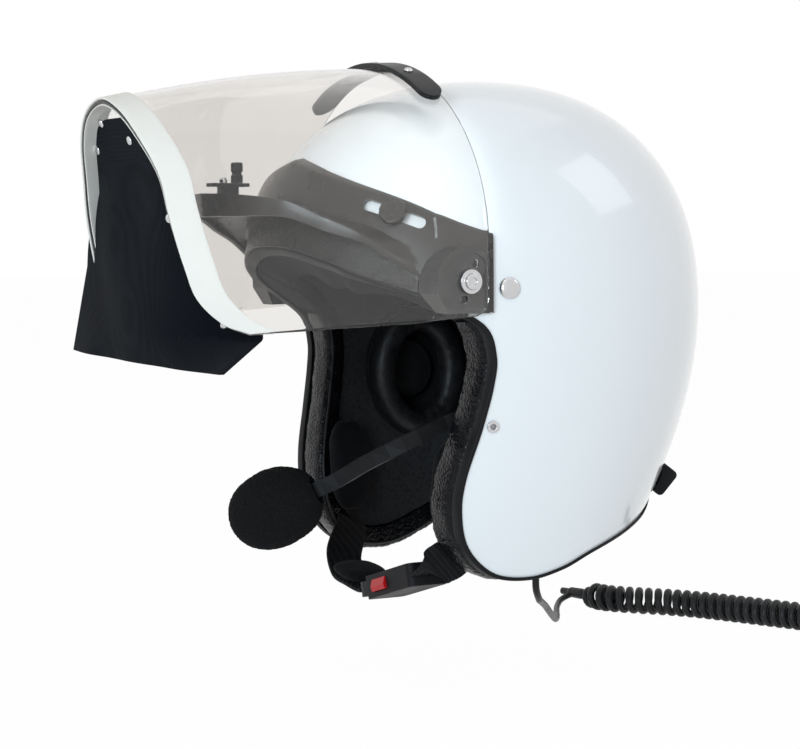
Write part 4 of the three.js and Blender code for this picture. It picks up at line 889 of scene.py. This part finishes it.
# Ear seals
def build_seals():
    section = [(-0.5, 0.04), (-0.5, 0.3), (-0.47, 0.62), (-0.36, 0.86), (-0.18, 0.98), (0.03, 1.0),
               (0.24, 0.94), (0.38, 0.8), (0.46, 0.58), (0.5, 0.28), (0.47, 0.08), (0.3, 0), (-0.3, 0)]
    middle_y, middle_z = 35 - 8.5 - 0.3, 43 - 8.5 - 0.3
    rings = []
    for k in range(120):
        turn = 2 * math.pi * k / 120
        puff = 1 + 0.012 * math.sin(9 * turn) + 0.01 * math.sin(23 * turn)
        ring = []
        for across, proud in section:
            ring.append(Vector((89.7 - 12.9 * proud * puff,
                                4 + (middle_y + 17 * across) * math.cos(turn),
                                -62 + (middle_z + 17 * across) * math.sin(turn))))
        rings.append(ring)
    seal = add_mesh("ear_seal_L", *tube(rings, True), "seal_leather", 60)
    smoothed(seal)
    for obj, word in ((seal, "left"), (mirror_copy(seal, "ear_seal_R"), "right")):
        settle(obj, "helmet", "roll_leather", "ear_seal_" + word)


# Microphone cover of open foam
BOOM_END = Vector((36, -122, -117.5))
MUFF = Vector((12, -150, -134.5))
MUFF_AXIS = (BOOM_END - MUFF).normalized()


def build_muff():
    hole, rows = 6.7, 56
    last = math.acos(hole / 23.5)
    profile = []
    for i in range(rows + 1):
        turn = -math.pi / 2 + (i / rows) * (math.pi / 2 + last)
        radius = 23.3 * abs(math.cos(turn)) ** 0.86 if i else 0.0
        profile.append((radius, 28.6 * math.sin(turn)))
    profile += [(hole, 20), (hole, 4), (hole, -5.6), (0, -5.6)]
    foam = lathe("muff", profile, MUFF_AXIS, MUFF, "mic_foam", 96, 0)
    smoothed(foam)
    ruffle(foam, 0.5, 18, 1.0)
    ruffle(foam, 0.5, 1.6, 7.0, 1)
    settle(foam, "boom", "mic_foam", "mic_windscreen")


# Straps of webbing with stitched ends
LINE = Vector((math.cos(math.radians(16)), 0, math.sin(math.radians(16))))
BUCKLE = Vector((32, -73, -180.5))
WEB_HALF, WEB_FACE = 12.5, 1.2


def strap_edges(side, place):
    y, z = place
    out = []
    for edge in (y - WEB_HALF, y + WEB_HALF):
        out.append(Vector((side * (shell_x(edge, z, -28.4) - 2.4), edge, z)))
    return out


def build_strap(name, node, side, end, route):
    low = strap_edges(side, (-58, -163))
    top = strap_edges(side, (-55, -156))
    points = [BUCKLE + LINE * end, BUCKLE + LINE * (end + side * 2.4)]
    points += [Vector(p) for p in route] + [(low[0] + low[1]) / 2, (top[0] + top[1]) / 2]
    line = Route(catmull(points, 24))
    goal = (top[1] - top[0]).normalized()
    frames, count = [], 110
    for k in range(count + 1):
        share = k / count
        along = line.ahead(share)
        across = Vector((0, 1, 0)).lerp(goal, share)
        across = (across - along * across.dot(along)).normalized()
        frames.append((line.at(share), across, along.cross(across)))
    half = [(-11.2, -WEB_FACE), (11.2, -WEB_FACE), (12.0, -1.05), (WEB_HALF, -0.5)]
    half += [(WEB_HALF, 0.5), (12.0, 1.05)]
    section = [(-WEB_HALF, -0.5), (-12.0, -1.05), *half, (11.2, WEB_FACE), (-11.2, WEB_FACE), (-12.0, 1.05),
               (-WEB_HALF, 0.5)]
    strap = add_mesh(name, *sweep(frames, section), "webbing", 40)
    settle(strap, "helmet", "webbing", node)
    for face in (1, -1):
        rows = []
        for across in (-9.5, -3.2, 3.2, 9.5):
            rows.append([(p + u * across + v * face * WEB_FACE, v * face) for p, u, v in frames[4:14]])
        p, u, v = frames[14]
        rows.append([(p + u * a + v * face * WEB_FACE, v * face) for a in np.linspace(-9.5, 9.5, 12)])
        thread = stitches(f"{name}_thread_{'ab'[face < 0]}", rows, "thread", 2.2, 0.7, 0.5, 0.2)
        settle(thread, "helmet", "webbing")


# Visor: ruled from a rear arch to a front edge
VISOR_WALL, TOP_HEIGHT, REAR_Y = 2.2, 126.0, -69.0
BAND_DEPTH, INSIDE_DEPTH, CURTAIN_LINE = 16, 13, 8
FRONT_SHARES = [
    (0.66, -199, -29), (0.61, -211, -24), (0.56, -225, -10), (0.525, -231, 8), (0.49, -238, 35),
    (0.45, -242, 58), (0.335, -249, 80), (0.2, -253, 94), (0, -254, 101),
]
FRONT = Route(catmull([(x * PIVOT_X, y, z) for x, y, z in FRONT_SHARES]
                      + [(-x * PIVOT_X, y, z) for x, y, z in FRONT_SHARES[-2::-1]], 24))


def rear_at(share):
    """The visor's rear edge: a rounded tab end, then an arch over the crown."""
    side = -1 if share > 0.5 else 1
    along = 1 - abs(1 - 2 * share)
    straight, tab, corner = 20.0, 19.6, 8.0
    height = TOP_HEIGHT - straight
    quarter = height * 1.62
    place = along * (quarter + straight + tab) - tab
    if place <= straight:
        drop = min(max(0.0, corner - (tab + place)), corner)
        return Vector((side * PIVOT_X, REAR_Y - (corner - math.sqrt(corner**2 - drop**2)), place))
    turn = (place - straight) / quarter * math.pi / 2
    across, up = max(math.cos(turn), 0.0) ** (2 / 1.95), math.sin(turn) ** (2 / 1.95)
    return Vector((side * PIVOT_X * across, REAR_Y, straight + height * up))


def visor_at(across, along):
    rear, front = rear_at(across), FRONT.at(across)
    flat = 34 / abs(front.y - rear.y)
    taper = max(0.0, along - flat) / (1 - flat)
    crown = 5 * math.sin(math.pi * along) * max(0.0, (rear.z - 20) / 106)
    return Vector((rear.x + (front.x - rear.x) * taper, rear.y + (front.y - rear.y) * along,
                   rear.z + (front.z - rear.z) * along + crown))


def visor_normal(across, along):
    u, v = min(max(across, 0.004), 0.996), min(max(along, 0.004), 0.996)
    side = visor_at(u + 0.004, v) - visor_at(u - 0.004, v)
    ahead = visor_at(u, v + 0.004) - visor_at(u, v - 0.004)
    return side.cross(ahead).normalized()


def visor_point(across, along, offset):
    return visor_at(across, along) + visor_normal(across, along) * offset


def reach_of(across):
    return (visor_at(across, 1) - visor_at(across, 0)).length


def visor_plate(name, columns, rows, start, end, low, high, look, edge, smooth=35):
    """A strip of the visor's surface. start and end give shares along it for a share across."""
    grids = []
    for offset in (low, high):
        grid = []
        for j in range(rows + 1):
            row = []
            for u in columns:
                v = start(u) + (end(u) - start(u)) * j / rows
                row.append(visor_point(u, v, offset))
            grid.append(row)
        grids.append(grid)
    obj = add_mesh(name, *plate(*grids), look, smooth)
    bevel(obj, edge, 3, 50)
    apply_all(obj)
    shade(obj, smooth)
    return obj


def build_visor():
    columns = [k / 150 for k in range(151)]
    half = VISOR_WALL / 2
    sheet = visor_plate("visor_sheet", columns, 56, lambda u: 0, lambda u: 1, -half, half,
                        "visor_clear", 0.6, 30)
    small = Vector((0, math.cos(math.radians(70)), math.sin(math.radians(70)))) * 10.7
    for radius, place in ((4.8, Vector()), (2.2, small), (2.2, -small)):
        profile = [(0, -130), (radius, -130), (radius, 130), (0, 130)]
        cut(sheet, lathe("bore", profile, (1, 0, 0), place + Vector((0, PIVOT_Y, 0)), "visor_clear", 40))
    shade(sheet, 30)
    sheet.visible_shadow = False
    settle(sheet, "visor", "visor_clear", "visor")
    band = visor_plate("edge_band", columns, 6, lambda u: 1 - BAND_DEPTH / reach_of(u), lambda u: 1,
                       1.6, 2.8, "band_white", 0.4)
    settle(band, "visor", "band_white", "visor_edge_band")
    inside = visor_plate("edge_band_inside", columns, 6, lambda u: 1 - INSIDE_DEPTH / reach_of(u),
                         lambda u: 1, -1.9, -1.2, "band_white", 0.2)
    settle(inside, "visor", "band_white")
    depth, round_end = 7.5, 7.5 / 62
    half = 62 / PIVOT_X * 0.32
    columns = [0.5 - half * math.cos(math.pi * k / 90) for k in range(91)]

    def strip_end(u, side):
        """Share along the visor of the strip's rear or front edge, with rounded ends."""
        past = max(0.0, abs(u - 0.5) / half - 1 + round_end) / round_end
        return depth * (1 + side * math.sqrt(max(1 - past**2, 0.02))) / reach_of(u)

    strip = visor_plate("top_strip", columns, 8, lambda u: strip_end(u, -1), lambda u: strip_end(u, 1),
                        1.4, 4.4, "black_plastic", 0.9)
    settle(strip, "visor", "black_plastic", "visor_top_strip")
    for side, tag, word in SIDES:
        u = 0.5 - side * 34 / PIVOT_X * 0.32
        v = depth / reach_of(u)
        profile = [(0, 0.1), (2.6, 0.1), (2.6, 0.7), (1.82, 1.6), (1.3, 1.6), (1.04, 0.9), (0, 0.9)]
        screw = lathe("strip_screw_head_" + tag, rounded(profile, 0.25), visor_normal(u, v),
                      visor_point(u, v, 4.4), "chrome", 40)
        settle(screw, "visor", "chrome", "strip_screw_" + word)
    v = depth / reach_of(0.5)
    profile = [(0, 0), (2.4, 0), (2.4, 0.7), (1.5, 0.9), (1.1, 0.5), (0, 0.5)]
    dot = lathe("strip_grommet", rounded(profile, 0.2), visor_normal(0.5, v), visor_point(0.5, v, 4.3),
                "band_white", 40)
    settle(dot, "visor", "band_white")


# Wind curtain: hangs from the visor's front edge
def build_curtain():
    arch, low, off = 0.47, 0.01, 0.27

    def on_band(share):
        return visor_point(share, 1 - CURTAIN_LINE / reach_of(share), -2.0)

    def edge(t, side):
        """The near edge lies on the band down to its end, the far one leaves it higher up and hangs."""
        if side < 0 and t > 0.3:
            s = (t - 0.3) / 0.7
            free = on_band(1 - off).lerp(Vector((-107, -229, -44)), s)
            return free - Vector((0, 2 * math.sin(math.pi * min(1, 2.2 * s)) if s < 0.46 else 0, 0))
        if side < 0:
            return on_band(1 - arch - (off - arch) * (t / 0.3))
        if t <= 0.76:
            return on_band(arch + (low - arch) * (t / 0.76))
        start = edge(0.76, side) - Vector((0, 0, 4.5 * min(1, (t - 0.76) / 0.03)))
        return start.lerp(Vector((101.5, -229, -49)), max(0, t - 0.79) / 0.21)

    columns, rows = 72, 84
    grids = []
    for through in (0.0, 3.0):
        grid = []
        for j in range(rows + 1):
            t = j / rows
            a, b = edge(t, 1), edge(t, -1)
            row = []
            for i in range(columns + 1):
                u = i / columns
                side = 2 * u - 1
                p = a.lerp(b, u)
                p.z -= 7 * max(0.0, 1 - 8 * t)
                middle = min(p.y, -236)
                p.y = middle + (p.y - middle) * abs(side) ** 3
                slack = (1 - abs(side) ** 4) * min(1.0, t * 3)
                p.y += slack * (1.6 * noise3(p, 1 / 38, 2.0) + 0.7 * math.sin(p.x / 11 + p.z / 40))
                p.y += through
                row.append(p)
            grid.append(row)
        grids.append(grid)
    curtain = add_mesh("curtain", *plate(*grids), "neoprene", 40)
    settle(curtain, "visor", "neoprene", "wind_curtain")
    return curtain, grids[0]


# Brow shield with its peak
BROW = [
    (0, 1, 0.5, 0.639, 0.708, 0.507, 1.293), (0.152, 0.931, 0.464, 0.603, 0.694, 0.507, 1.268),
    (0.31, 0.84, 0.4, 0.539, 0.639, 0.5, 1.197), (0.42, 0.774, 0.344, 0.483, 0.5, 0.389, 1.116),
    (0.53, 0.708, 0.285, 0.424, 0.375, 0.3, 1.055), (0.65, 0.625, 0.15, 0.333, 0.167, 0.111, 0.977),
    (0.8, 0.507, -0.042, 0.201, 0, -0.042, 0.901), (0.905, 0.43, -0.167, 0.069, -0.11, -0.167, 0.87),
    (1, 0.375, -0.25, -0.056, -0.195, -0.25, 0.84),
]
BROW_LINES = [catmull([(row[0], row[c], row[c + 1]) for row in BROW], 40) for c in (1, 3, 5)]


def brow_station(share):
    k = 1
    while k < len(BROW) - 1 and BROW[k][0] < share:
        k += 1
    local = (k - 1 + (share - BROW[k - 1][0]) / (BROW[k][0] - BROW[k - 1][0])) * 40
    i = min(int(local), len(BROW_LINES[0]) - 2)
    flange, middle, edge = (line[i].lerp(line[i + 1], local - i) for line in BROW_LINES)
    return (flange.y * 72, flange.z * 72, middle.y * 72, middle.z * 72, edge.y * 72, edge.z * 145,
            5 - 3 * share)


def flange_section(turn):
    top, bottom, crease, _, _, _, wall = brow_station(abs(turn))
    angle = math.radians(63 * turn)
    inner = [bottom + (top - bottom) * k / 8 for k in range(9)]
    section = [shell_at(angle, z, 1) for z in inner]
    outer = [top - 1.1, top - 2.2] + [bottom + (top - 4 - bottom) * k / 8 for k in range(8, -1, -1)]
    depth = [wall * 0.75, wall * 0.95] + [wall] * 9
    return section + [shell_at(angle, z, 1 + d) for z, d in zip(outer, depth)]


def peak_section(turn):
    _, _, crease, tip, low, radius, wall = brow_station(abs(turn))
    angle = math.radians(63 * turn)

    def at(reach, z):
        return Vector((reach * math.sin(angle), CENTRE_Y - reach * math.cos(angle), z))

    def root(z):
        return shell_at(angle, z, 1 + wall / 2)

    lean = 7 * (tip - low) / 72
    top, edge = root(crease), at(radius, tip)
    section = [top.lerp(edge, k / 8) for k in range(8)]
    face = tip - low
    section += [at(radius - 0.35, tip - 0.05 * face), at(radius - 0.3 * lean, tip - 0.35 * face),
                at(radius - 0.7 * lean, tip - 0.7 * face), at(radius - lean, low + 0.3),
                at(radius - lean - 1.4, low), at(radius - lean - 2.8, low + 0.3),
                at(radius - lean - 2.8, (low + tip) / 2)]
    back, under = section[-1], root(crease - 2.8)
    section += [back.lerp(under, k / 6) for k in range(1, 7)]
    return section


def slot_frame():
    wall = brow_station(38 / 63)[6]
    turn = math.radians(38)
    seat = shell_at(turn, 38.5, 1 + wall)
    side = (shell_at(turn + math.radians(1), 38.5, 1 + wall) - seat).normalized()
    up = (shell_at(turn, 38.5 + 2.8, 1 + wall) - seat).normalized()
    normal = up.cross(side).normalized()
    if normal.y > 0:
        normal.negate()
    return seat, side, normal, wall


def base_block(side):
    """The room that a visor base takes in the shield, as a tool."""
    radius, drop, rear = 20.3, 18.3, 15.3
    turns = [math.pi * k / 32 for k in range(33)]
    points = [(PIVOT_Y + radius * math.cos(a), radius * math.sin(a)) for a in turns]
    points += [(PIVOT_Y - radius, -drop * 0.38), (PIVOT_Y - radius * 0.62, -drop), (PIVOT_Y + radius, -drop)]
    points = [(min(y, PIVOT_Y + rear), z) for y, z in points]
    clean = [p for k, p in enumerate(points) if k == 0 or math.dist(p, points[k - 1]) > 1e-3]
    return add_mesh("block", *tube([[Vector((side * x, y, z)) for y, z in clean] for x in (94, 120)]))


def rim_height(turn):
    """Height of the shell's front rim at a turn from straight ahead."""
    front = [p for p in RIM_HALF if p.y < -60 and p.z > -40]
    best = min(front, key=lambda p: abs(math.atan2(p.x, CENTRE_Y - p.y) - abs(turn)))
    return best.z


def build_skirt():
    """The shield's pebbled lower edge, from under the peak down to the rim's rubber."""
    rings = []
    count = 90
    for k in range(count + 1):
        turn = 0.86 * (2 * k / count - 1)
        angle = math.radians(63 * turn)
        top = brow_station(abs(turn))[2] - 0.6
        low = min(rim_height(angle) + 1.1, top - 1.2)
        outer = [(low, 1.2), (low - 0.1, 1.8), (low + 0.5, 2.6)]
        outer += [(low + 0.5 + (top - low - 0.5) * i / 6, 2.7) for i in range(1, 7)]
        inner = [(top - (top - low) * i / 6, 0.9) for i in range(7)]
        rings.append([shell_at(angle, z, out) for z, out in outer + inner])
    skirt = add_mesh("shield_skirt", *tube(rings), "shield_grain", 50)
    for side, _, _ in SIDES:
        cut(skirt, base_block(side))
    settle(skirt, "helmet", "shield_dark")


def build_shield():
    count = 120
    flange = add_mesh("shield", *tube([flange_section(2 * k / count - 1) for k in range(count + 1)]))
    peak = add_mesh("peak", *tube([peak_section(0.8 * (2 * k / count - 1)) for k in range(count + 1)]))
    cut(peak, body_mesh("under", 1.3, 128, 36, 12))
    cut(flange, peak, "UNION")
    seat, side, normal, wall = slot_frame()
    up = normal.cross(side).normalized()
    tilt = math.radians(19)
    along = side * math.cos(tilt) - up * math.sin(tilt)
    across = normal.cross(along)
    slot, travel = 3.5, 16
    for way, _, _ in SIDES:
        turns = [2 * math.pi * k / 48 for k in range(48)]
        ring = [along * (math.copysign(travel, math.cos(a)) + slot * math.cos(a))
                + across * (slot * math.sin(a)) for a in turns]
        rings = [[mirrored(seat + p + normal * depth, way) for p in ring] for depth in (-12, 12)]
        cut(flange, add_mesh("slot_tool", *tube(rings)))
        block = base_block(way)
        cut(block, body_mesh("seat", 3.4, 128, 36, 12))
        cut(flange, block)
    paint(flange, "shield_dark")
    bevel(flange, 0.45, 2, 38)
    shade(flange, 32)
    settle(flange, "helmet", "shield_dark", "brow_shield")
    r, h = 8.0, 5.0
    profile = rounded([(0, -wall - 0.4), (3, -wall - 0.4), (3, 0.6), (r * 0.94, 0.6), (r, h * 0.3),
                       (r, h * 0.75), (r * 0.86, h), (r * 0.5, h * 0.94), (0, h * 0.94)], 0.5)
    for way, tag, word in SIDES:
        place, axis = mirrored(seat, way), mirrored(normal, way)
        knob = lathe("knob_" + tag, profile, axis, place, "shield_dark", 72)
        for v in knob.data.vertices:
            local = v.co / MM - place
            high = local.dot(axis)
            flat = local - axis * high
            if flat.length > r * 0.92 and 1.2 < high < 4.2:
                a = math.atan2(flat.dot(mirrored(up, way)), flat.dot(mirrored(side, way)))
                v.co -= flat.normalized() * MM * 0.22 * (1 + math.cos(18 * a))
        settle(knob, "knob_" + word, "shield_dark", "slot_knob_" + word)


# Screws, studs and rivets
def build_fasteners():
    out = PIVOT_X + VISOR_WALL / 2 + 0.3
    pivot = [(0, out - 16), (4.2, out - 16), (4.2, out), (6.9, out), (6.9, out + 1.2), (4.9, out + 1.25),
             (4.4, out + 3.0), (2.3, out + 3.4), (2.1, out + 2.3), (0, out + 2.3)]
    stud = [(0, 0.4), (6.2, 0.4), (6.2, 1.1), (5.7, 1.7), (4.65, 2.5), (2.48, 3), (0, 3)]
    rivet = [(1.5, -4.3), (2.4, -4.3), (2.4, 0.6), (3.6, 0.6), (3.3, 1.35), (1.9, 1.4), (1.5, 0.8),
             (1.5, -4.3)]
    for side, tag, word in SIDES:
        screw = lathe("pivot_screw_head_" + tag, rounded(pivot, 0.3), (side, 0, 0), (0, PIVOT_Y, 0),
                      "chrome", 64)
        settle(screw, "helmet", "chrome", "pivot_screw_" + word)
        for name, node, y, z, profile, segments in (
            ("stud_", "side_stud_", -53.4, -4.0, rounded(stud, 0.6), 64),
            ("rivet_", "strap_rivet_", -61.0, -83.0, rounded(rivet, 0.2), 40),
        ):
            seat = Vector((shell_x(y, z), y, z))
            piece = lathe(name + tag, profile, mirrored(outward(seat), side), mirrored(seat, side),
                          "chrome", segments)
            settle(piece, "helmet", "chrome", node + word)


# Cords: the lead from its gland, the moulded joint, the curled cord and its plug
LEAD = [
    (68.4, -3.6, -178.3), (67.9, -3, -186), (61, 3.5, -193.5), (40, 19, -199.5), (10, 42, -208),
    (-20, 65, -217.5), (-60, 95, -229.5), (-96, 122, -239.3), (-119, 138.5, -241.85),
    (-138, 151, -241.85), (-154, 162.5, -241.2), (-163, 172, -238.8), (-164, 178.5, -236.6),
    (-160.6, 182, -234.8),
]
CURL = [
    (-150.3, 183.7, -234.2), (-125.8, 188.6, -234.2), (-105.1, 202.9, -234.2), (-90.6, 214.6, -234.2),
    (-74.5, 224.6, -234.2), (-60, 231.6, -234.2), (-10, 251, -234.2), (40.9, 270.8, -234.2),
]
CURLS = 30


def curl_line(each):
    axis = Route(catmull(CURL, 24))
    steps = CURLS * each
    points = [axis.at(0) - axis.ahead(0) * 5.3]
    for i in range(steps + 1):
        share = i / steps
        along = axis.ahead(share)
        side = along.cross(Vector((0, 0, 1))).normalized()
        up = side.cross(along)
        turns = share * CURLS
        t = min(max(min(turns, CURLS - turns) / 1.5, 0.0), 1.0)
        ramp = t * t * (3 - 2 * t)
        turn = -turns * 2 * math.pi
        points.append(axis.at(share) + (side * math.cos(turn) + up * math.sin(turn)) * 7.1 * ramp)
    points.append(axis.at(1) + axis.ahead(1) * 5.3)
    return points


def cord_curve(name, points, radius, look):
    data = bpy.data.curves.new(name, "CURVE")
    data.dimensions = "3D"
    spline = data.splines.new("POLY")
    spline.points.add(len(points) - 1)
    for target, p in zip(spline.points, points):
        target.co = (*(p * MM), 1)
    data.bevel_depth = radius * MM
    data.bevel_resolution = 5
    data.use_fill_caps = True
    data.materials.append(M[look])
    obj = bpy.data.objects.new(name, data)
    scene.collection.objects.link(obj)
    return obj, sum((b - a).length for a, b in zip(points, points[1:]))


def build_cords():
    curl = curl_line(20)
    axis = (curl[1] - curl[0]).normalized()
    end = curl[0] - axis * 0.3
    lead = Route(catmull([*LEAD, end], 24)).steps(220)
    lead_obj, lead_length = cord_curve("lead_line", lead, 2.15, "cord_black")
    settle(lead_obj, "helmet", "cord_black", "lead")
    curl_obj, curl_length = cord_curve("curl_line", curl, 2.65, "cord_black")
    settle(curl_obj, "helmet", "cord_black", "curly_cord")
    profile = rounded([(2.0, -17), (2.5, -17), (2.6, -10), (3.7, -8), (3.9, 3), (3.3, 6), (2.3, 6.4)], 0.6)
    sleeve = lathe("lead_sleeve", profile, axis, end, "cord_black", 48)
    settle(sleeve, "helmet", "cord_black")
    out = curl[-1]
    ahead = out - curl[-2]
    ahead.z = 0
    ahead.normalize()
    seat = out + ahead * 0.6
    seat.z = max(seat.z, FLOOR + 7.3)
    grip = [(0, 0), (4.34, 0), (4.6, 6), (5.0, 12.4)]
    for k in range(9):
        at = 13.2 + k * 2.1
        grip += [(6.95, at), (6.95, at + 1.2), (6.35, at + 1.45), (6.35, at + 1.95)]
    grip += [(6.95, 32.6), (6.95, 37.8), (6.4, 40.6), (5.2, 42), (0, 42)]
    body = lathe("plug_grip", rounded(grip, 0.3, 3), ahead, seat, "black_plastic", 64)
    settle(body, "helmet", "black_plastic", "plug_body")
    seat = out + ahead * 42.9
    seat.z = max(seat.z, FLOOR + 7.3)
    shares = [(0, 1), (0.22, 1), (0.24, 0.86), (0.28, 0.86), (0.3, 1), (0.5, 1), (0.52, 0.86), (0.56, 0.86),
              (0.58, 1), (0.78, 1), (0.84, 0.62), (0.9, 0.9), (0.97, 0.5), (1, 0.2)]
    profile = rounded([(0, 0)] + [(3.55 * r, 26 * a) for a, r in shares] + [(0, 26)], 0.3, 3)
    tip = lathe("plug_pin", profile, ahead, seat, "chrome", 48)
    settle(tip, "helmet", "chrome", "plug_tip")


# Column and row of each stud on the curtain's grid
STUDS = [(70, 5), (70, 15), (27, 14), (7, 34), (3, 61)]


def build_curtain_studs(grid):
    profile = rounded([(0, -0.6), (2.6, -0.6), (2.8, 0.3), (2.3, 0.9), (1.3, 1.2), (0, 1.3)], 0.3)
    for n, (i, j) in enumerate(STUDS):
        out = (grid[j][i + 1] - grid[j][i - 1]).cross(grid[j + 1][i] - grid[j - 1][i]).normalized()
        if out.y > 0:
            out.negate()
        stud = lathe(f"curtain_stud_{n}", profile, out, grid[j][i], "chrome", 40)
        settle(stud, "visor", "chrome")
        squash_curtain(stud)


def squash_curtain(piece):
    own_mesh(piece)


build_cords()
build_shell()
build_trim()
build_cheek_rolls()
build_cross_roll("brow_roll", -999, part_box("brow_roll")[1][1] / MM, "brow_roll_soft", "pad_cloth")
build_cross_roll("nape_roll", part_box("nape_roll")[0][1] / MM, 999, "nape_roll_soft", "roll_leather")
build_pads()
build_seals()
build_muff()
TONGUE_END = -28 - 7 - 0.3
build_strap("strap_L", "chin_strap_left", 1, 28.3, [(63, -71.5, -170.5), (63.4, -67, -167)])
build_strap("strap_R", "chin_strap_right", -1, TONGUE_END,
            [(-22, -73, -188.9), (-42, -71, -185.9), (-56, -67, -176)])
build_visor()
curtain, curtain_grid = build_curtain()
build_curtain_studs(curtain_grid)



def length_of(line):
    return sum((b - a).length for a, b in zip(line, line[1:])) * MM


def area_of(grid):
    total = 0.0
    for low, high in zip(grid, grid[1:]):
        for a, b, c, d in zip(low, low[1:], high[1:], high):
            total += ((b - a).cross(d - a).length + (b - c).cross(d - c).length) / 2 * MM**2
    return total


down = length_of([row[len(row) // 2] for row in curtain_grid])
wide = max(length_of(row) for row in curtain_grid)
round(area_of(curtain_grid), 5)
squash_curtain(curtain)
build_shield()
build_skirt()
build_fasteners()

# Solids that keep their shape get materials and rounded edges
dress(["impact_liner"], "liner_foam", 30)
dress(["rear_clip", "cable_gland"], "trim_rubber", 40, 0.6)
dress([*pair("ear_cup"), *pair("speaker"), "boom_pivot", "mic_capsule", "buckle_tongue", "latch_plate",
       "latch_post"], "black_plastic", 35, 0.3)
dress(["mic_boom"], "trim_rubber", 75)
dress(["buckle_body"], "trim_rubber", 30, 0.9, 4)
dress(pair("visor_base"), "base_plate", 35, 0.5, 3)
dress(["latch_screw"], "chrome", 35, 0.25)
dress(["buckle_button"], "red_plastic", 30, 0.5, 3)


# Floor, light and world
def seen_by(tree):
    """One for rays from the camera, from mirrors and through glass."""
    path = tree.nodes.new("ShaderNodeLightPath")
    last = path.outputs["Is Camera Ray"]
    for name in ("Is Glossy Ray", "Is Transmission Ray"):
        top = tree.nodes.new("ShaderNodeMath")
        top.operation = "MAXIMUM"
        tree.links.new(last, top.inputs[0])
        tree.links.new(path.outputs[name], top.inputs[1])
        last = top.outputs[0]
    return last


def add_floor(half=15.0, z=FLOOR * MM - 0.0001):
    mesh = bpy.data.meshes.new("floor")
    corners = ((-half, -half, z), (half, -half, z), (half, half, z), (-half, half, z))
    mesh.from_pydata(corners, [], [(0, 1, 2, 3)])
    floor = bpy.data.objects.new("floor", mesh)
    scene.collection.objects.link(floor)
    look = Look("floor", (0.95, 0.95, 0.95), 0.9, Specular_IOR_Level=0.0)
    glow = look.node("ShaderNodeEmission", {"Color": (1, 1, 1, 1)})
    mix = look.node("ShaderNodeMixShader", {
        "Fac": look.times(seen_by(look.tree), 0.98), 1: look.bsdf.outputs[0], 2: glow.outputs[0],
    })
    look.tree.links.new(mix.outputs[0], look.tree.nodes["Material Output"].inputs["Surface"])
    mesh.materials.append(look.mat)


def add_world(lit=0.4, shown=1.0):
    world = bpy.data.worlds.new("world")
    scene.world = world
    world.use_nodes = True
    tree = world.node_tree
    tree.nodes.clear()
    out = tree.nodes.new("ShaderNodeOutputWorld")
    mix = tree.nodes.new("ShaderNodeMixShader")
    tree.links.new(seen_by(tree), mix.inputs["Fac"])
    for strength, socket in ((lit, 1), (shown, 2)):
        back = tree.nodes.new("ShaderNodeBackground")
        back.inputs["Strength"].default_value = strength
        back.inputs["Color"].default_value = (1, 1, 1, 1)
        tree.links.new(back.outputs[0], mix.inputs[socket])
    tree.links.new(mix.outputs[0], out.inputs["Surface"])


def add_light(name, place, size, power, color=(1, 1, 1), shows=True):
    """An area light aimed at the helmet; shows says whether gloss mirrors it."""
    data = bpy.data.lights.new(name, "AREA")
    data.shape = "RECTANGLE"
    data.size, data.size_y = size
    data.energy = power
    data.color = color
    light = bpy.data.objects.new(name, data)
    scene.collection.objects.link(light)
    light.visible_glossy = shows
    light.location = place
    light.rotation_euler = (-Vector(place)).to_track_quat("-Z", "Y").to_euler()


add_floor()
add_world()
add_light("key", (1.0, -1.4, 2.4), (1.2, 1.2), 3)
add_light("flash", (1.6, -1.9, 0.3), (0.9, 0.7), 24, (0.72, 0.9, 1.0))
add_light("fill", (2.35, 0.33, 0.9), (0.6, 0.6), 8, (0.8, 0.93, 1.0), False)
add_light("glint", (1.2, -1.6, 0.5), (0.12, 0.12), 3, (0.85, 0.95, 1.0))
add_light("side", (1.4, 2.3, 2.0), (1.3, 1.3), 6, (0.95, 0.98, 1.0))
add_light("front", (-1.2, -2.6, 0.9), (1.8, 1.6), 4)
add_light("top", (-0.4, 0.3, 2.6), (2.4, 2.4), 5)
scene.view_settings.view_transform = "Standard"
